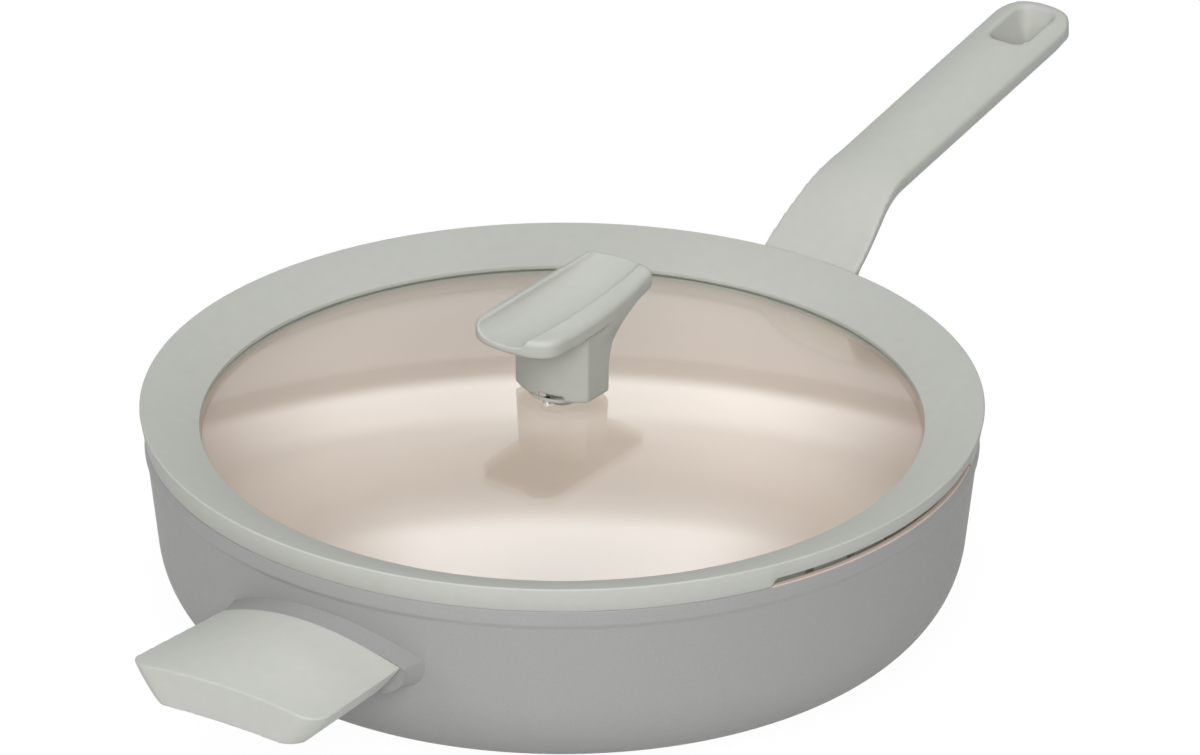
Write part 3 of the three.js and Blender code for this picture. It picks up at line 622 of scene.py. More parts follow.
@dataclass(frozen=True)
class MetalFinish(Finish):
    """Bare metal with fine turning or brushing marks."""

    roughness: float
    turned: bool = False

    def dress(self, sheet: NodeSheet) -> bpy.types.Material:
        """Makes the material on an empty sheet."""
        if self.turned:
            rings = sheet.add("NodeTexWave", wave_type="RINGS", rings_direction="Z", Vector=sheet.place(),
                              Scale=260.0, Distortion=1.5, Detail=3.0, Detail_Scale=8.0)
            marks = rings.outputs["Fac"]
        else:
            marks = sheet.noise(sheet.place((1, 1, 12)), 900.0, 2.0)
        return sheet.surface(
            Metallic=1.0,
            Base_Color=self.tones(sheet, marks, 0.9, 1.05, 0.2, 0.8),
            Roughness=sheet.spread(marks, self.roughness, 0.05, 0.08),
            Normal=sheet.bump(marks, 0.15, 0.02),
        )


@dataclass(frozen=True)
class GlassFinish(Finish):
    """Clear tempered glass that lets light and shadow through."""

    passing: float = 0.93
    wave: float = 18.0

    def dress(self, sheet: NodeSheet) -> bpy.types.Material:
        """Makes the material on an empty sheet."""
        wave = sheet.noise(sheet.place(), self.wave, 1.0)
        glass = sheet.chain("NodeBsdfPrincipled", Transmission_Weight=1.0, IOR=1.45,
                            Base_Color=self.tones(sheet, wave, 0.985, 1.0),
                            Roughness=sheet.spread(wave, 0.055, 0.005, 0.005))
        clear = sheet.chain("NodeBsdfTransparent", shade(self.colour, self.passing))
        path = sheet.add("NodeLightPath").outputs
        passes = sheet.chain("NodeMath", path["Is Shadow Ray"], path["Is Diffuse Ray"], operation="MAXIMUM")
        return sheet.close(sheet.chain("NodeMixShader", passes, glass, clear))


PHENOLIC = MouldedFinish("moulded_phenolic", Slot.PHENOLIC, (197, 199, 192), 0.5, 3200.0)
SILICONE = MouldedFinish("moulded_silicone", Slot.SILICONE, (197, 199, 192), 0.7, 2400.0)
GREY_COAT = SprayFinish("grey_coat", Slot.COAT, (164, 164, 162), 0.45)
CREAM_GLAZE = GlazeFinish("cream_glaze", Slot.COAT, (236, 218, 206), 0.3)
PLATE_STEEL = MetalFinish("plate_steel", Slot.PLATE, (200, 202, 203), 0.3, turned=True)
SCREW_STEEL = MetalFinish("screw_steel", Slot.STEEL, (196, 198, 200), 0.26)
INSERT_BRASS = MetalFinish("insert_brass", Slot.BRASS, (205, 178, 110), 0.3)
LID_GLASS = GlassFinish("tempered_glass", Slot.GLASS, (250, 252, 251))


@lru_cache(maxsize=None)
def material_of(finish: Finish) -> bpy.types.Material:
    """Gives the material of a finish, made once."""
    return finish.dress(NodeSheet(bpy.data.materials.new(finish.name)))


def finish_piece(name: str, work: Workpiece, finishes: Sequence[Finish], body: Body, *nodes: str,
                 crease: float = 32.0) -> None:
    """Makes a finished piece of a workpiece, riding on its body.

    Args:
        name: Name of the piece.
        work: The workpiece, in millimetres.
        finishes: Its finishes, in the order of the faces' material indices.
        body: The body that it rides on.
        nodes: The nodes that it stands for.
        crease: Angle in degrees over which an edge stays sharp.
    """
    work.facing_out()
    bmesh.ops.scale(work.bm, vec=(MM, MM, MM), verts=work.bm.verts)
    mesh = work.to_mesh(name)
    for finish in finishes:
        mesh.materials.append(material_of(finish))
    mesh.shade_smooth()
    mesh.set_sharp_from_angle(angle=math.radians(crease))
    piece = stand(name, mesh)
    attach(piece, body.value)
    if nodes:
        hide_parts(*nodes)
    log.info("%s: %d faces on %s", name, len(mesh.polygons), body.value)


def ring_profile(inner: float, outer: float, bottom: float, top: float, edge: float) -> list[Point2]:
    """Works out the profile of a flat ring with eased edges."""
    return rounded_rectangle((inner, bottom), (outer, top), edge, 3)


@dataclass
class Screw:
    """A round-headed screw with a hexagon socket, head down and shank up the Z axis."""

    length: float
    radius: float = 2.0
    head_radius: float = 3.6
    head_height: float = 2.2
    socket: float = 1.6
    pitch: float = 0.8
    thread_start: float = 0.9
    root_share: float = 0.86
    dome_share: float = 0.22
    socket_share: float = 0.3
    steps: int = 36

    def build(self) -> Workpiece:
        """Makes the screw with the underside of its head at height 0."""
        drop, wide = self.head_height, self.head_radius
        dome = bezier([(0.0, -drop), (wide, -drop), (wide, -self.dome_share * drop)], 8)
        shank = [(wide, 0.0), (self.radius, 0.0)]
        for i in range(int((self.length - self.radius) / self.pitch)):
            z = self.thread_start + self.pitch * i
            shank += [(self.radius, z), (self.radius * self.root_share, z + self.pitch / 2)]
        end = self.length
        tip = [(self.radius, end - self.radius / 2), (self.radius / 2, end), (0.0, end)]
        clay = Clay(Workpiece().turn([*dome, *shank, *tip], self.steps))
        socket = Workpiece().post(self.socket, (0, 0), -drop - 1, -self.socket_share * drop, 6)
        return clay.work(Combine.CUT, socket).take()


@dataclass(frozen=True)
class Fixing:
    """How a handle is held: holes for screws, and a screw with a washer in each."""

    bore: float = 2.5
    seat: float = 4.6
    washer: tuple[float, float, float] = (2.3, 4.0, 0.8)
    gap: float = 0.1

    def fit(self, piece: str, node: str, side: str, length: float, place: Matrix) -> None:
        """Makes one screw and the washer under its head.

        Args:
            piece: Start of the pieces' names.
            node: Start of the names of the nodes that they stand for.
            side: End of all these names.
            length: Length of the screw.
            place: Where the underside of its head goes.
        """
        screw = Screw(length).build().move(place)
        finish_piece(f"{piece}_screw_{side}", screw, [SCREW_STEEL], Body.PAN, f"{node}_screw_{side}")
        inner, outer, thick = self.washer
        washer = Workpiece().turn(ring_profile(inner, outer, 0.0, thick, 0.15), 36)
        washer.move(place @ Matrix.Translation((0, 0, self.gap)))
        finish_piece(f"{piece}_washer_{side}", washer, [SCREW_STEEL], Body.PAN, f"{node}_washer_{side}")


@dataclass
class Vessel:
    """The cast vessel with its two lugs and the steel plate in its base."""

    rim_radius: float = 140.2
    rim_width: float = 3.0
    height: float = 69.2
    lip_height: float = 5.6
    wall: float = 3.0
    lean: float = math.radians(6.9)
    corner: float = 34.4
    floor: float = 4.5
    base_z: float = 0.3
    plate_radius: float = 90.0
    plate_thickness: float = 1.0
    plate_holes: tuple[tuple[float, int], ...] = ((42.0, 8), (74.0, 16))
    plate_hole_radius: float = 3.0
    fit: float = 0.3
    steps: int = 256
    lug_end: float = 145.6
    lug_half_width: float = 16.0
    lug_low: float = 38.2
    lug_high: float = 60.2
    lug_flare: float = 4.0
    helper_reach: float = 149.0
    helper_edge_z: float = 45.4
    helper_depth: float = 10.2
    helper_half_width: float = 38.6
    helper_flare: float = 2.2
    tongue: tuple[float, float, float] = (27.0, 22.0, 7.0)
    tongue_top: float = 45.5
    notch_half_angle: float = math.radians(24.5)

    def wall_radius(self, z: float, depth: float) -> float:
        """Gives the leaning wall's radius at a height, a depth out from its inner face."""
        return self.rim_radius - (self.height - z) * math.tan(self.lean) + depth / math.cos(self.lean)

    def corner_centre(self, flat: float, radius: float, depth: float) -> Point2:
        """Works out the round corner between a flat and the wall.

        Args:
            flat: Height of the flat.
            radius: Radius of the corner.
            depth: Depth of the wall face out from the inner face.

        Returns:
            The arc's centre.
        """
        z = flat + radius
        touch = z - radius * math.sin(self.lean)
        return self.wall_radius(touch, depth) - radius * math.cos(self.lean), z

    def outer_half(self) -> list[Point2]:
        """Gives the outside of the profile, from the base's middle up to the lip."""
        centre = self.corner_centre(self.base_z, self.corner, self.wall)
        recess = self.plate_radius + self.fit
        lip_low = self.height - self.lip_height
        step = self.rim_radius + self.rim_width
        wall_end = self.wall_radius(lip_low - 2.4, self.wall)
        soft = bezier([(wall_end, lip_low - 2.4), (wall_end + 0.1, lip_low - 0.6),
                       (step - 0.1, lip_low - 0.5), (step, lip_low + 0.6)], 12)
        return [
            (0.0, self.plate_thickness),
            (recess, self.plate_thickness),
            (recess, self.base_z + 0.3),
            (recess + 0.3, self.base_z),
            *arc(centre, self.corner, -math.pi / 2, -self.lean, 26),
            *soft,
            *arc((step - 0.95, self.height - 0.6), 0.6, 0.0, math.pi / 2, 6),
        ]

    def inner_half(self) -> list[Point2]:
        """Gives the inside of the profile, from the rim's top down to the floor's middle."""
        inner = self.corner - self.wall
        centre = self.corner_centre(self.base_z + self.floor, inner, 0.0)
        return [
            *arc((self.rim_radius + 0.6, self.height - 0.6), 0.6, math.pi / 2, math.pi - self.lean, 6),
            *arc(centre, inner, -self.lean, -math.pi / 2, 26),
            (0.0, self.base_z + self.floor),
        ]

    def under_notch(self, place: Vector) -> bool:
        """Tells whether a place lies under one of the lid's two strainer notches."""
        return abs(math.atan2(abs(place.y), place.x) - math.pi / 2) < self.notch_half_angle

    def build_shell(self) -> None:
        """Turns the vessel: grey outside, cream from the top of the rim inwards."""
        work = Workpiece().turn([*self.outer_half(), *self.inner_half()], self.steps)

        def inside(centre: Vector) -> bool:
            """Tells whether a face lies on the cream side."""
            radius = math.hypot(centre.x, centre.y)
            if centre.z > self.height - (0.3 if self.under_notch(centre) else 0.1):
                return True
            half_floor = self.base_z + self.floor / 2
            return centre.z > half_floor and radius < self.wall_radius(centre.z, self.wall * 0.4) and (
                centre.z > self.corner or radius < self.inner_limit(centre.z))

        work.tint(1, inside)
        finish_piece("vessel_shell", work, [GREY_COAT, CREAM_GLAZE], Body.PAN, "pan_body")

    def inner_limit(self, z: float) -> float:
        """Gives the radius half way through the wall in the rounded corner."""
        radius = self.corner - self.wall / 2
        centre = self.corner_centre(self.base_z + self.floor / 2, radius, self.wall / 2)
        drop = min(radius, max(0.0, centre[1] - z))
        return centre[0] + math.sqrt(max(0.0, radius**2 - drop**2))

    def build_stick_lug(self) -> None:
        """Lofts the cast lug that carries the stick handle, flaring where it meets the wall."""
        rings = []
        for i in range(13):
            share = i / 12
            flare = self.lug_flare * (1 - share) ** 2.5
            half = self.lug_half_width + flare
            low, high = self.lug_low - 0.8 * flare, self.lug_high + 0.6 * flare
            edge = 5.0 if share < 0.97 else 4.4
            outline = rounded_rectangle((-half, low), (half, high), edge, 6)
            rings.append([Vector((self.on_wall(y, z, share), y, z)) for y, z in without_repeats(outline)])
        finish_piece("stick_lug", Workpiece().loft(rings), [GREY_COAT], Body.PAN)

    def on_wall(self, y: float, z: float, share: float) -> float:
        """Gives the place a share of the way from the round wall to the lug's flat outer end."""
        wall = math.sqrt(self.wall_radius(z, self.wall * 0.6) ** 2 - y**2)
        return lerp(wall, self.lug_end, share)

    def build_helper_lug(self) -> None:
        """Lofts the cast lug behind the helper handle, with the tongue that the handle is pushed over."""
        rings = []
        for i in range(15):
            share = i / 14
            flare = self.helper_flare * share**2
            section = helper_section(self.helper_half_width + flare, 9.6 + 2.4 * share**2, self.helper_edge_z,
                                     self.helper_depth + 1.5 * share**2, 8.0, (0.0, 1.2))
            ring = []
            for y, z in section:
                wall = self.wall_radius(min(z, self.height - self.lip_height), self.wall * 0.5)
                radius = lerp(self.helper_reach, wall, share)
                ring.append(Vector((-math.sqrt(radius**2 - y**2), y, z)))
            rings.append(ring)
        length, half, thick = self.tongue
        low = (-self.helper_reach - self.fit - length, -half, self.tongue_top - thick)
        high = (-self.helper_reach + 5, half, self.tongue_top)
        work = Workpiece().loft(rings).block(low, high, 1.0)
        finish_piece("helper_lug", work, [GREY_COAT], Body.PAN)

    def build_plate(self) -> None:
        """Turns the steel plate and drills its two rings of holes."""
        profile = [(0.0, 0.0), *arc((self.plate_radius - 0.3, 0.3), 0.3, -math.pi / 2, 0.0, 3),
                   (self.plate_radius, self.plate_thickness), (0.0, self.plate_thickness)]
        clay = Clay(Workpiece().turn(profile, 128))
        drill = Workpiece()
        for radius, count in self.plate_holes:
            for i in range(count):
                drill.post(self.plate_hole_radius, radius * pointing(2 * math.pi * i / count), -2, 3, 24)
        plate = clay.work(Combine.CUT, drill).take()
        finish_piece("plate_disc", plate, [PLATE_STEEL], Body.PAN, "base_plate")

    def build(self) -> None:
        """Makes all pieces of the vessel."""
        self.build_shell()
        self.build_stick_lug()
        self.build_helper_lug()
        self.build_plate()


def helper_section(half: float, crest: float, edge_z: float, depth: float, undercut: float = 10.0,
                   fullness: Point2 = (4.4, 5.0)) -> list[Point2]:
    """Works out a cross section of the helper handle or its lug, looking along X.

    Args:
        half: Half width at the top edges.
        crest: Rise of the arched top over its edges.
        edge_z: Height of the top edges.
        depth: Depth of the underside below the edges.
        undercut: How far the underside is narrower on each side.
        fullness: Where the side's control point lies, in from the edge and up from the underside.

    Returns:
        The closed section in y and z.
    """
    low, half_low = edge_z - depth, half - undercut
    top = [(half * (1 - 2 * i / 32), edge_z + crest * (1 - (1 - 2 * i / 32) ** 2)) for i in range(32)]
    control = (half - fullness[0], low + fullness[1])
    near = bezier([(-half, edge_z), (-control[0], control[1]), (-half_low, low)], 10)
    belly = [(half_low * s, low + 1.2 * (1 - s**2)) for s in (-0.75, -0.5, -0.25, 0.0, 0.25, 0.5, 0.75)]
    far = bezier([(half_low, low), control, (half, edge_z)], 10)
    return [*top, *near, *belly, *far[:-1]]


@dataclass
class StickHandle:
    """The stick handle with its hanging eye, and the screws that hold its foot."""

    foot_x: float = 145.9
    foot_z: float = 78.1
    toe_z: float = 36.2
    rise: float = math.radians(37.6)
    grip: float = math.radians(11.3)
    knee_reach: float = 25.6
    knee_radius: float = 40.0
    end_x: float = 287.3
    foot_width: float = 39.0
    grip_width: float = 29.8
    foot_depth: float = 9.0
    foot_excess: float = 5.0
    lug_clear_z: float = 62.0
    lid_clear_radius: float = 145.45
    grip_depth: float = 12.0
    foot_belly: float = 15.0
    grip_belly: float = 13.0
    crown: float = 2.2
    narrowing: float = 46.0
    nose: float = 16.0
    nose_depth: float = 3.0
    end_length: float = 13.0
    end_fullness: float = 0.62
    eye: tuple[float, float, float] = (23.1, 15.4, 5.0)
    eye_draft: float = math.radians(15.5)
    eye_from_end: float = 4.0
    lip: tuple[float, float] = (0.8, 0.6)
    screw_heights: tuple[float, float] = (43.7, 54.7)
    seat_x: float = 151.5
    screw_x: float = 152.5
    screw_length: float = 11.9
    fixing: Fixing = Fixing()
    grain: float = 0.6
    passes: int = 8

    def knee_points(self) -> tuple[Vector, Vector, Vector]:
        """Gives the start, the end and the centre of the bend, in x and z."""
        knee = Vector((self.foot_x + self.knee_reach, self.foot_z + self.knee_reach * math.tan(self.rise)))
        back = self.knee_radius * math.tan((self.rise - self.grip) / 2)
        start, end = knee - back * pointing(self.rise), knee + back * pointing(self.grip)
        centre = start + self.knee_radius * Vector((math.sin(self.rise), -math.cos(self.rise)))
        return start, end, centre

    def line_at(self, distance: float) -> tuple[Vector, float]:
        """Follows the upper line of the handle from the top of its foot.

        Args:
            distance: Length along the line.

        Returns:
            The point in x and z, and the heading in radians.
        """
        start, end, centre = self.knee_points()
        first = (start - Vector((self.foot_x, self.foot_z))).length
        bend = self.knee_radius * (self.rise - self.grip)
        if distance <= first:
            return Vector((self.foot_x, self.foot_z)) + distance * pointing(self.rise), self.rise
        if distance <= first + bend:
            heading = self.rise - (distance - first) / self.knee_radius
            return centre + self.knee_radius * Vector((-math.sin(heading), math.cos(heading))), heading
        return end + (distance - first - bend) * pointing(self.grip), self.grip

    def length(self) -> float:
        """Gives the length of the upper line."""
        start, end, _ = self.knee_points()
        first = (start - Vector((self.foot_x, self.foot_z))).length
        return first + self.knee_radius * (self.rise - self.grip) + (self.end_x - end.x) / math.cos(self.grip)

    def section(self, point: Vector, heading: float, half: float, depth: float, belly: float,
                crown: float) -> Ring:
        """Works out one cross section, square to the heading.

        Args:
            point: Middle of the upper line, in x and z.
            heading: Direction of the line.
            half: Half width.
            depth: Depth of the belly.
            belly: Width of the belly's rounding on each side.
            crown: Rise of the crowned top.

        Returns:
            The closed ring.
        """
        flat = [(half * (1 - i / 10), crown * (1 - (1 - i / 10) ** 2)) for i in range(20)]
        turns = [math.pi / 2 * i / 12 for i in range(13)]
        down = [(half - belly + belly * math.cos(a), -depth * math.sin(a)) for a in turns]
        outline = [*flat, *[(-y, up) for y, up in down], *down[:0:-1]]
        sine, cosine = math.sin(heading), math.cos(heading)
        return [Vector((point.x - sine * up, y, point.y + cosine * up)) for y, up in outline]

    def rings(self) -> list[Ring]:
        """Works out the handle's sections from the toe to the free end."""
        total = self.length()
        turn = (math.pi / 2 - self.rise) / 2
        upright = math.pi / 2
        half = self.foot_width / 2
        extra = self.foot_excess
        toe = Vector((self.foot_x - extra, self.toe_z))
        foot = Vector((self.foot_x - extra, self.foot_z - extra * math.tan(self.rise)))
        depth = self.foot_depth + extra
        made = [
            self.section(toe, upright, half, depth, self.foot_belly, 0.0),
            self.section(foot, upright - turn, half, depth / math.cos(turn), self.foot_belly, 0.0),
        ]
        count = 64
        for i in range(1, count + 1):
            distance = total * i / count
            point, heading = self.line_at(distance)
            slim = ease(distance, 0.0, self.narrowing)
            tip = max(0.0, distance - total + self.nose) / self.nose
            grip_depth = lerp(self.nose_depth, self.grip_depth, math.sqrt(max(0.0, 1 - tip**2)))
            made.append(self.section(
                point, heading,
                lerp(self.foot_width, self.grip_width, slim) / 2,
                lerp(self.foot_depth, grip_depth, slim),
                lerp(self.foot_belly, self.grip_belly, slim),
                self.crown * slim * (1 - tip**2),
            ))
        return made

    def outline(self) -> list[Point2]:
        """Works out the plan outline that rounds off the free end."""
        start, half, end = self.end_x - self.end_length, self.grip_width / 2, self.end_x
        control, full = start + self.end_fullness * self.end_length, self.end_fullness * half
        wide, left = self.foot_width, self.foot_x - 2 * self.foot_excess
        near = bezier([(start, -half), (control, -half), (end, -full), (end, 0.0)], 16)
        far = bezier([(end, 0.0), (end, full), (control, half), (start, half)], 16)
        return [(left, -wide), (start - 2, -wide), *near, *far[1:], (start - 2, wide), (left, wide)]

    def top_z(self, x: float, y: float) -> float:
        """Gives the height of the grip's top over a place in plan."""
        _, end, _ = self.knee_points()
        tip = max(0.0, (x - self.end_x) / math.cos(self.grip) + self.nose) / self.nose
        crown = self.crown * (1 - min(1.0, tip) ** 2) * (1 - (2 * y / self.grip_width) ** 2)
        return end.y + (x - end.x) * math.tan(self.grip) + crown

    def eye_tool(self) -> Workpiece:
        """Makes the cutter of the hanging eye, wider at the top where the lip is eased."""
        length, width, corner = self.eye
        high = self.end_x - self.eye_from_end
        lip_width, lip_depth = self.lip
        rings = []
        drop = self.grip_depth + self.crown + 2.5
        draft = -drop * math.tan(self.eye_draft)
        for grow, lift in ((draft, -drop), (0.0, -lip_depth), (lip_width, 0.0), (lip_width + 2.0, 3.0)):
            side = width / 2 + grow
            outline = rounded_rectangle((high - length - grow, -side), (high + grow, side), corner + grow, 12)
            rings.append([Vector((x, y, self.top_z(x, y) + lift)) for x, y in without_repeats(outline)])
        return Workpiece().loft(rings)

    def build_grip(self) -> None:
        """Lofts, trims and moulds the handle."""
        clay = Clay(Workpiece().loft(self.rings()))
        trim = Workpiece().raise_outline(self.outline(), lambda x, y: 0.0, lambda x, y: 140.0)
        clay.work(Combine.KEEP, trim).work(Combine.CUT, self.eye_tool())
        face, clear = self.foot_x, self.lug_clear_z
        for z in self.screw_heights:
            bore = Workpiece().rod(self.fixing.bore, Vector((face - 8, 0, z)), Vector((face + 14, 0, z)), 24)
            start, end = Vector((self.seat_x - 0.1, 0, z)), Vector((face + 16, 0, z))
            clay.work(Combine.CUT, bore, Workpiece().rod(self.fixing.seat, start, end, 32))
        lug = Workpiece().block((face - 30, -40.0, 0.0), (face, 40.0, clear))
        lid = Workpiece().post(self.lid_clear_radius, (0, 0), clear - 0.2, 110, 512)
        work = Clay(clay.mould(self.grain, self.passes)).work(Combine.CUT, lug, lid).take()
        finish_piece("stick_handle", work, [PHENOLIC], Body.PAN, "long_handle", crease=60.0)

    def build(self) -> None:
        """Makes all pieces of the stick handle, its screws with their heads outwards."""
        self.build_grip()
        towards_pan = Matrix.Rotation(-math.pi / 2, 4, "Y")
        for level, z in zip(("lower", "upper"), self.screw_heights):
            place = Matrix.Translation((self.screw_x, 0, z)) @ towards_pan
            self.fixing.fit("foot", "long_handle", level, self.screw_length, place)


@dataclass
class HelperHandle:
    """The short helper handle and the screws under it."""

    inner_radius: float = 149.3
    length: float = 47.2
    outer_half: float = 40.8
    inner_half: float = 37.5
    edge_z: float = 46.2
    outer_crest: float = 3.3
    inner_crest: float = 9.4
    depth: float = 12.2
    corner: float = 9.0
    tongue: tuple[float, float, float] = (27.3, 22.3, 7.0)
    tongue_top: float = 45.5
    fit: float = 0.3
    screw_x: float = -165.3
    screw_y: float = 12.0
    seat_z: float = 37.4
    screw_z: float = 36.4
    screw_length: float = 7.1
    fixing: Fixing = Fixing()
    grain: float = 0.42
    passes: int = 3

    def rings(self) -> list[Ring]:
        """Works out the sections from the straight outer end to the hollow inner end."""
        outer = -(self.inner_radius + self.length)
        made = []
        for i in range(25):
            share = i / 24
            section = helper_section(lerp(self.outer_half, self.inner_half, share),
                                     lerp(self.outer_crest, self.inner_crest, share), self.edge_z, self.depth)
            hollow = [(-math.sqrt(self.inner_radius**2 - y**2), y, z) for y, z in section]
            made.append([Vector((lerp(outer, x, share), y, z)) for x, y, z in hollow])
        return made

    def build_grip(self) -> None:
        """Lofts, trims and moulds the handle, with the pocket for the tongue."""
        outer = -(self.inner_radius + self.length)
        side = helper_section(self.outer_half, self.outer_crest, self.edge_z, self.depth)[-10:]
        levels = [(side[0][0], 0.0), *side, (self.outer_half, self.edge_z), (self.outer_half, 90.0)]
        rings = []
        for half, z in levels:
            outline = without_repeats(rounded_rectangle((outer, -half), (0.0, half), self.corner))
            rings.append([Vector((x, y, z)) for x, y in outline])
        clay = Clay(Workpiece().loft(self.rings())).work(Combine.KEEP, Workpiece().loft(rings))
        reach, half, thick = self.tongue
        low = (-self.inner_radius - reach, -half - self.fit, self.tongue_top - thick - self.fit)
        clay.work(Combine.CUT, Workpiece().block(low, (-100.0, half + self.fit, self.tongue_top + self.fit)))
        for y in (self.screw_y, -self.screw_y):
            place = (self.screw_x, y)
            bore = Workpiece().post(self.fixing.bore, place, 20, 40, 24)
            clay.work(Combine.CUT, bore, Workpiece().post(self.fixing.seat, place, 20, self.seat_z + 0.1, 32))
        work = clay.mould(self.grain, self.passes)
        finish_piece("helper_grip", work, [PHENOLIC], Body.PAN, "helper_handle", crease=60.0)

    def build(self) -> None:
        """Makes all pieces of the helper handle, its screws with their heads down."""
        self.build_grip()
        for side, y in (("left", self.screw_y), ("right", -self.screw_y)):
            place = Matrix.Translation((self.screw_x, y, self.screw_z))
            self.fixing.fit("helper", "helper_handle", side, self.screw_length, place)


@dataclass
class Lid:
    """The domed glass and the silicone rim that holds it."""

    skirt_low: float = 69.3
    skirt_top: float = 78.7
    skirt_low_radius: float = 143.2
    radius: float = 145.0
    window_radius: float = 124.3
    window_z: float = 71.8
    edge: float = 0.5
    glass_radius: float = 130.0
    glass_thickness: float = 4.0
    glass_hole: float = 4.3
    vent: Point2 = (-8.6, 0.0)
    vent_radius: float = 1.5
    apex_z: float = 84.2
    dome_radius: float = 570.7
    fit: float = 0.3
    lip_under: float = 1.2
    under_setback: float = 0.4
    plug_low: float = 61.6
    plug_low_radius: float = 138.2
    plug_top_radius: float = 139.1
    plug_wall: float = 4.6
    notch_half_angle: float = math.radians(24.0)
    notch_ramp: float = math.radians(0.9)
    notch_height: float = 2.7
    notch_depth: float = 3.0
    slit: tuple[float, float] = (4.0, 7.4)
    slit_pitch: float = math.radians(8.0)
    steps: int = 720

    def dome_z(self, radius: float) -> float:
        """Gives the height of the glass's top at a radius."""
        return self.apex_z - self.dome_radius + math.sqrt(self.dome_radius**2 - radius**2)

    def glass_profile(self) -> list[Point2]:
        """Works out the profile of the domed glass with a ground outer edge."""
        radii = [lerp(self.glass_hole, self.glass_radius - 2, i / 24) for i in range(25)]
        top = [(r, self.dome_z(r)) for r in radii]
        low = [(r, z - self.glass_thickness) for r, z in top]
        half = self.glass_thickness / 2
        middle = (self.glass_radius - half, self.dome_z(self.glass_radius) - half)
        edge = arc(middle, half, -math.pi / 2, math.pi / 2, 8)
        return [*low, *edge[1:-1], *top[::-1]]

    def build_glass(self) -> None:
        """Turns the glass and drills its small vent hole."""
        drill = Workpiece().post(self.vent_radius, self.vent, 76, 88, 24)
        work = Clay(Workpiece().turn(self.glass_profile(), 192)).work(Combine.CUT, drill).take()
        finish_piece("glass_dome", work, [LID_GLASS], Body.LID, "lid_glass")

    def rim_profile(self) -> list[Point2]:
        """Works out the profile of the rim: plug, skirt, sloping top, and the groove round the glass."""
        groove = self.glass_radius + self.fit
        under = self.window_radius + self.under_setback
        gap = self.glass_thickness + self.fit

        def glass_low(radius: float) -> float:
            """Gives the height just under the glass at a radius."""
            return self.dome_z(radius) - gap

        slope = math.atan2(self.skirt_top - self.window_z, self.radius - self.window_radius)
        lean = math.atan2(self.radius - self.skirt_low_radius, self.skirt_top - self.skirt_low)
        shift = self.edge * (math.sin(slope) + 1) / math.cos(slope)
        corner = (self.radius - self.edge - 0.1, self.skirt_top - shift)
        plug_inner = self.plug_low_radius - self.plug_wall
        window_low = self.dome_z(self.window_radius) + 0.06
        return [
            (under + 0.3, glass_low(under) - self.lip_under),
            (groove, glass_low(groove) - self.lip_under),
            (plug_inner, self.plug_low + 0.5),
            (plug_inner + 0.5, self.plug_low),
            (self.plug_low_radius - 0.6, self.plug_low),
            (self.plug_low_radius, self.plug_low + 0.6),
            (self.plug_top_radius, self.skirt_low),
            (self.skirt_low_radius - 0.4, self.skirt_low),
            (self.skirt_low_radius, self.skirt_low + 0.4),
            *arc(corner, self.edge, -lean, math.pi / 2 + slope, 6),
            *arc((self.window_radius + 0.45, self.window_z - 0.25), 0.45, math.pi / 2 + slope, math.pi, 4),
            (self.window_radius, window_low),
            (groove, self.dome_z(self.glass_radius) + self.fit),
            (groove, glass_low(groove)),
            (under, glass_low(under)),
            (under - 0.1, glass_low(under) - self.lip_under + 0.4),
        ]

    def notch_lift(self, place: Vector) -> float:
        """Gives how far the skirt's lower edge is raised over the strainer notches."""
        turn = abs(math.atan2(abs(place.y), place.x) - math.pi / 2)
        half, ramp = self.notch_half_angle, self.notch_ramp
        return self.notch_height * (1 - ease(turn, half - ramp, half + 0.2 * ramp))

    def build_rim(self) -> None:
        """Turns the rim, raises the two notches and cuts the straining slits."""
        work = Workpiece().turn(self.rim_profile(), self.steps)
        for vert in work.bm.verts:
            radius = math.hypot(vert.co.x, vert.co.y)
            if vert.co.z < self.skirt_low + 0.6 and radius > self.plug_top_radius - 0.05:
                lift = self.notch_lift(vert.co)
                vert.co.z += lift
                if radius < self.plug_top_radius + 0.05:
                    inward = 1 - self.notch_depth * lift / self.notch_height / radius
                    vert.co.x, vert.co.y = vert.co.x * inward, vert.co.y * inward
        width, rise = self.slit
        low = (self.plug_low_radius - self.plug_wall - 1, -width / 2, self.plug_low - 2)
        high = (self.plug_top_radius + 2, width / 2, self.plug_low + rise)
        cutter = Workpiece()
        for facing in (-math.pi / 2, math.pi / 2):
            for i in range(-2, 3):
                turned = Matrix.Rotation(facing + i * self.slit_pitch, 4, "Z")
                cutter.take_in(Workpiece().block(low, high).move(turned).to_mesh("slit"))
        work = Clay(work).work(Combine.CUT, cutter).take()
        finish_piece("silicone_rim", work, [SILICONE], Body.LID, "lid_rim", crease=40.0)

    def build(self) -> None:
        """Makes the glass and the rim."""
        self.build_glass()
        self.build_rim()


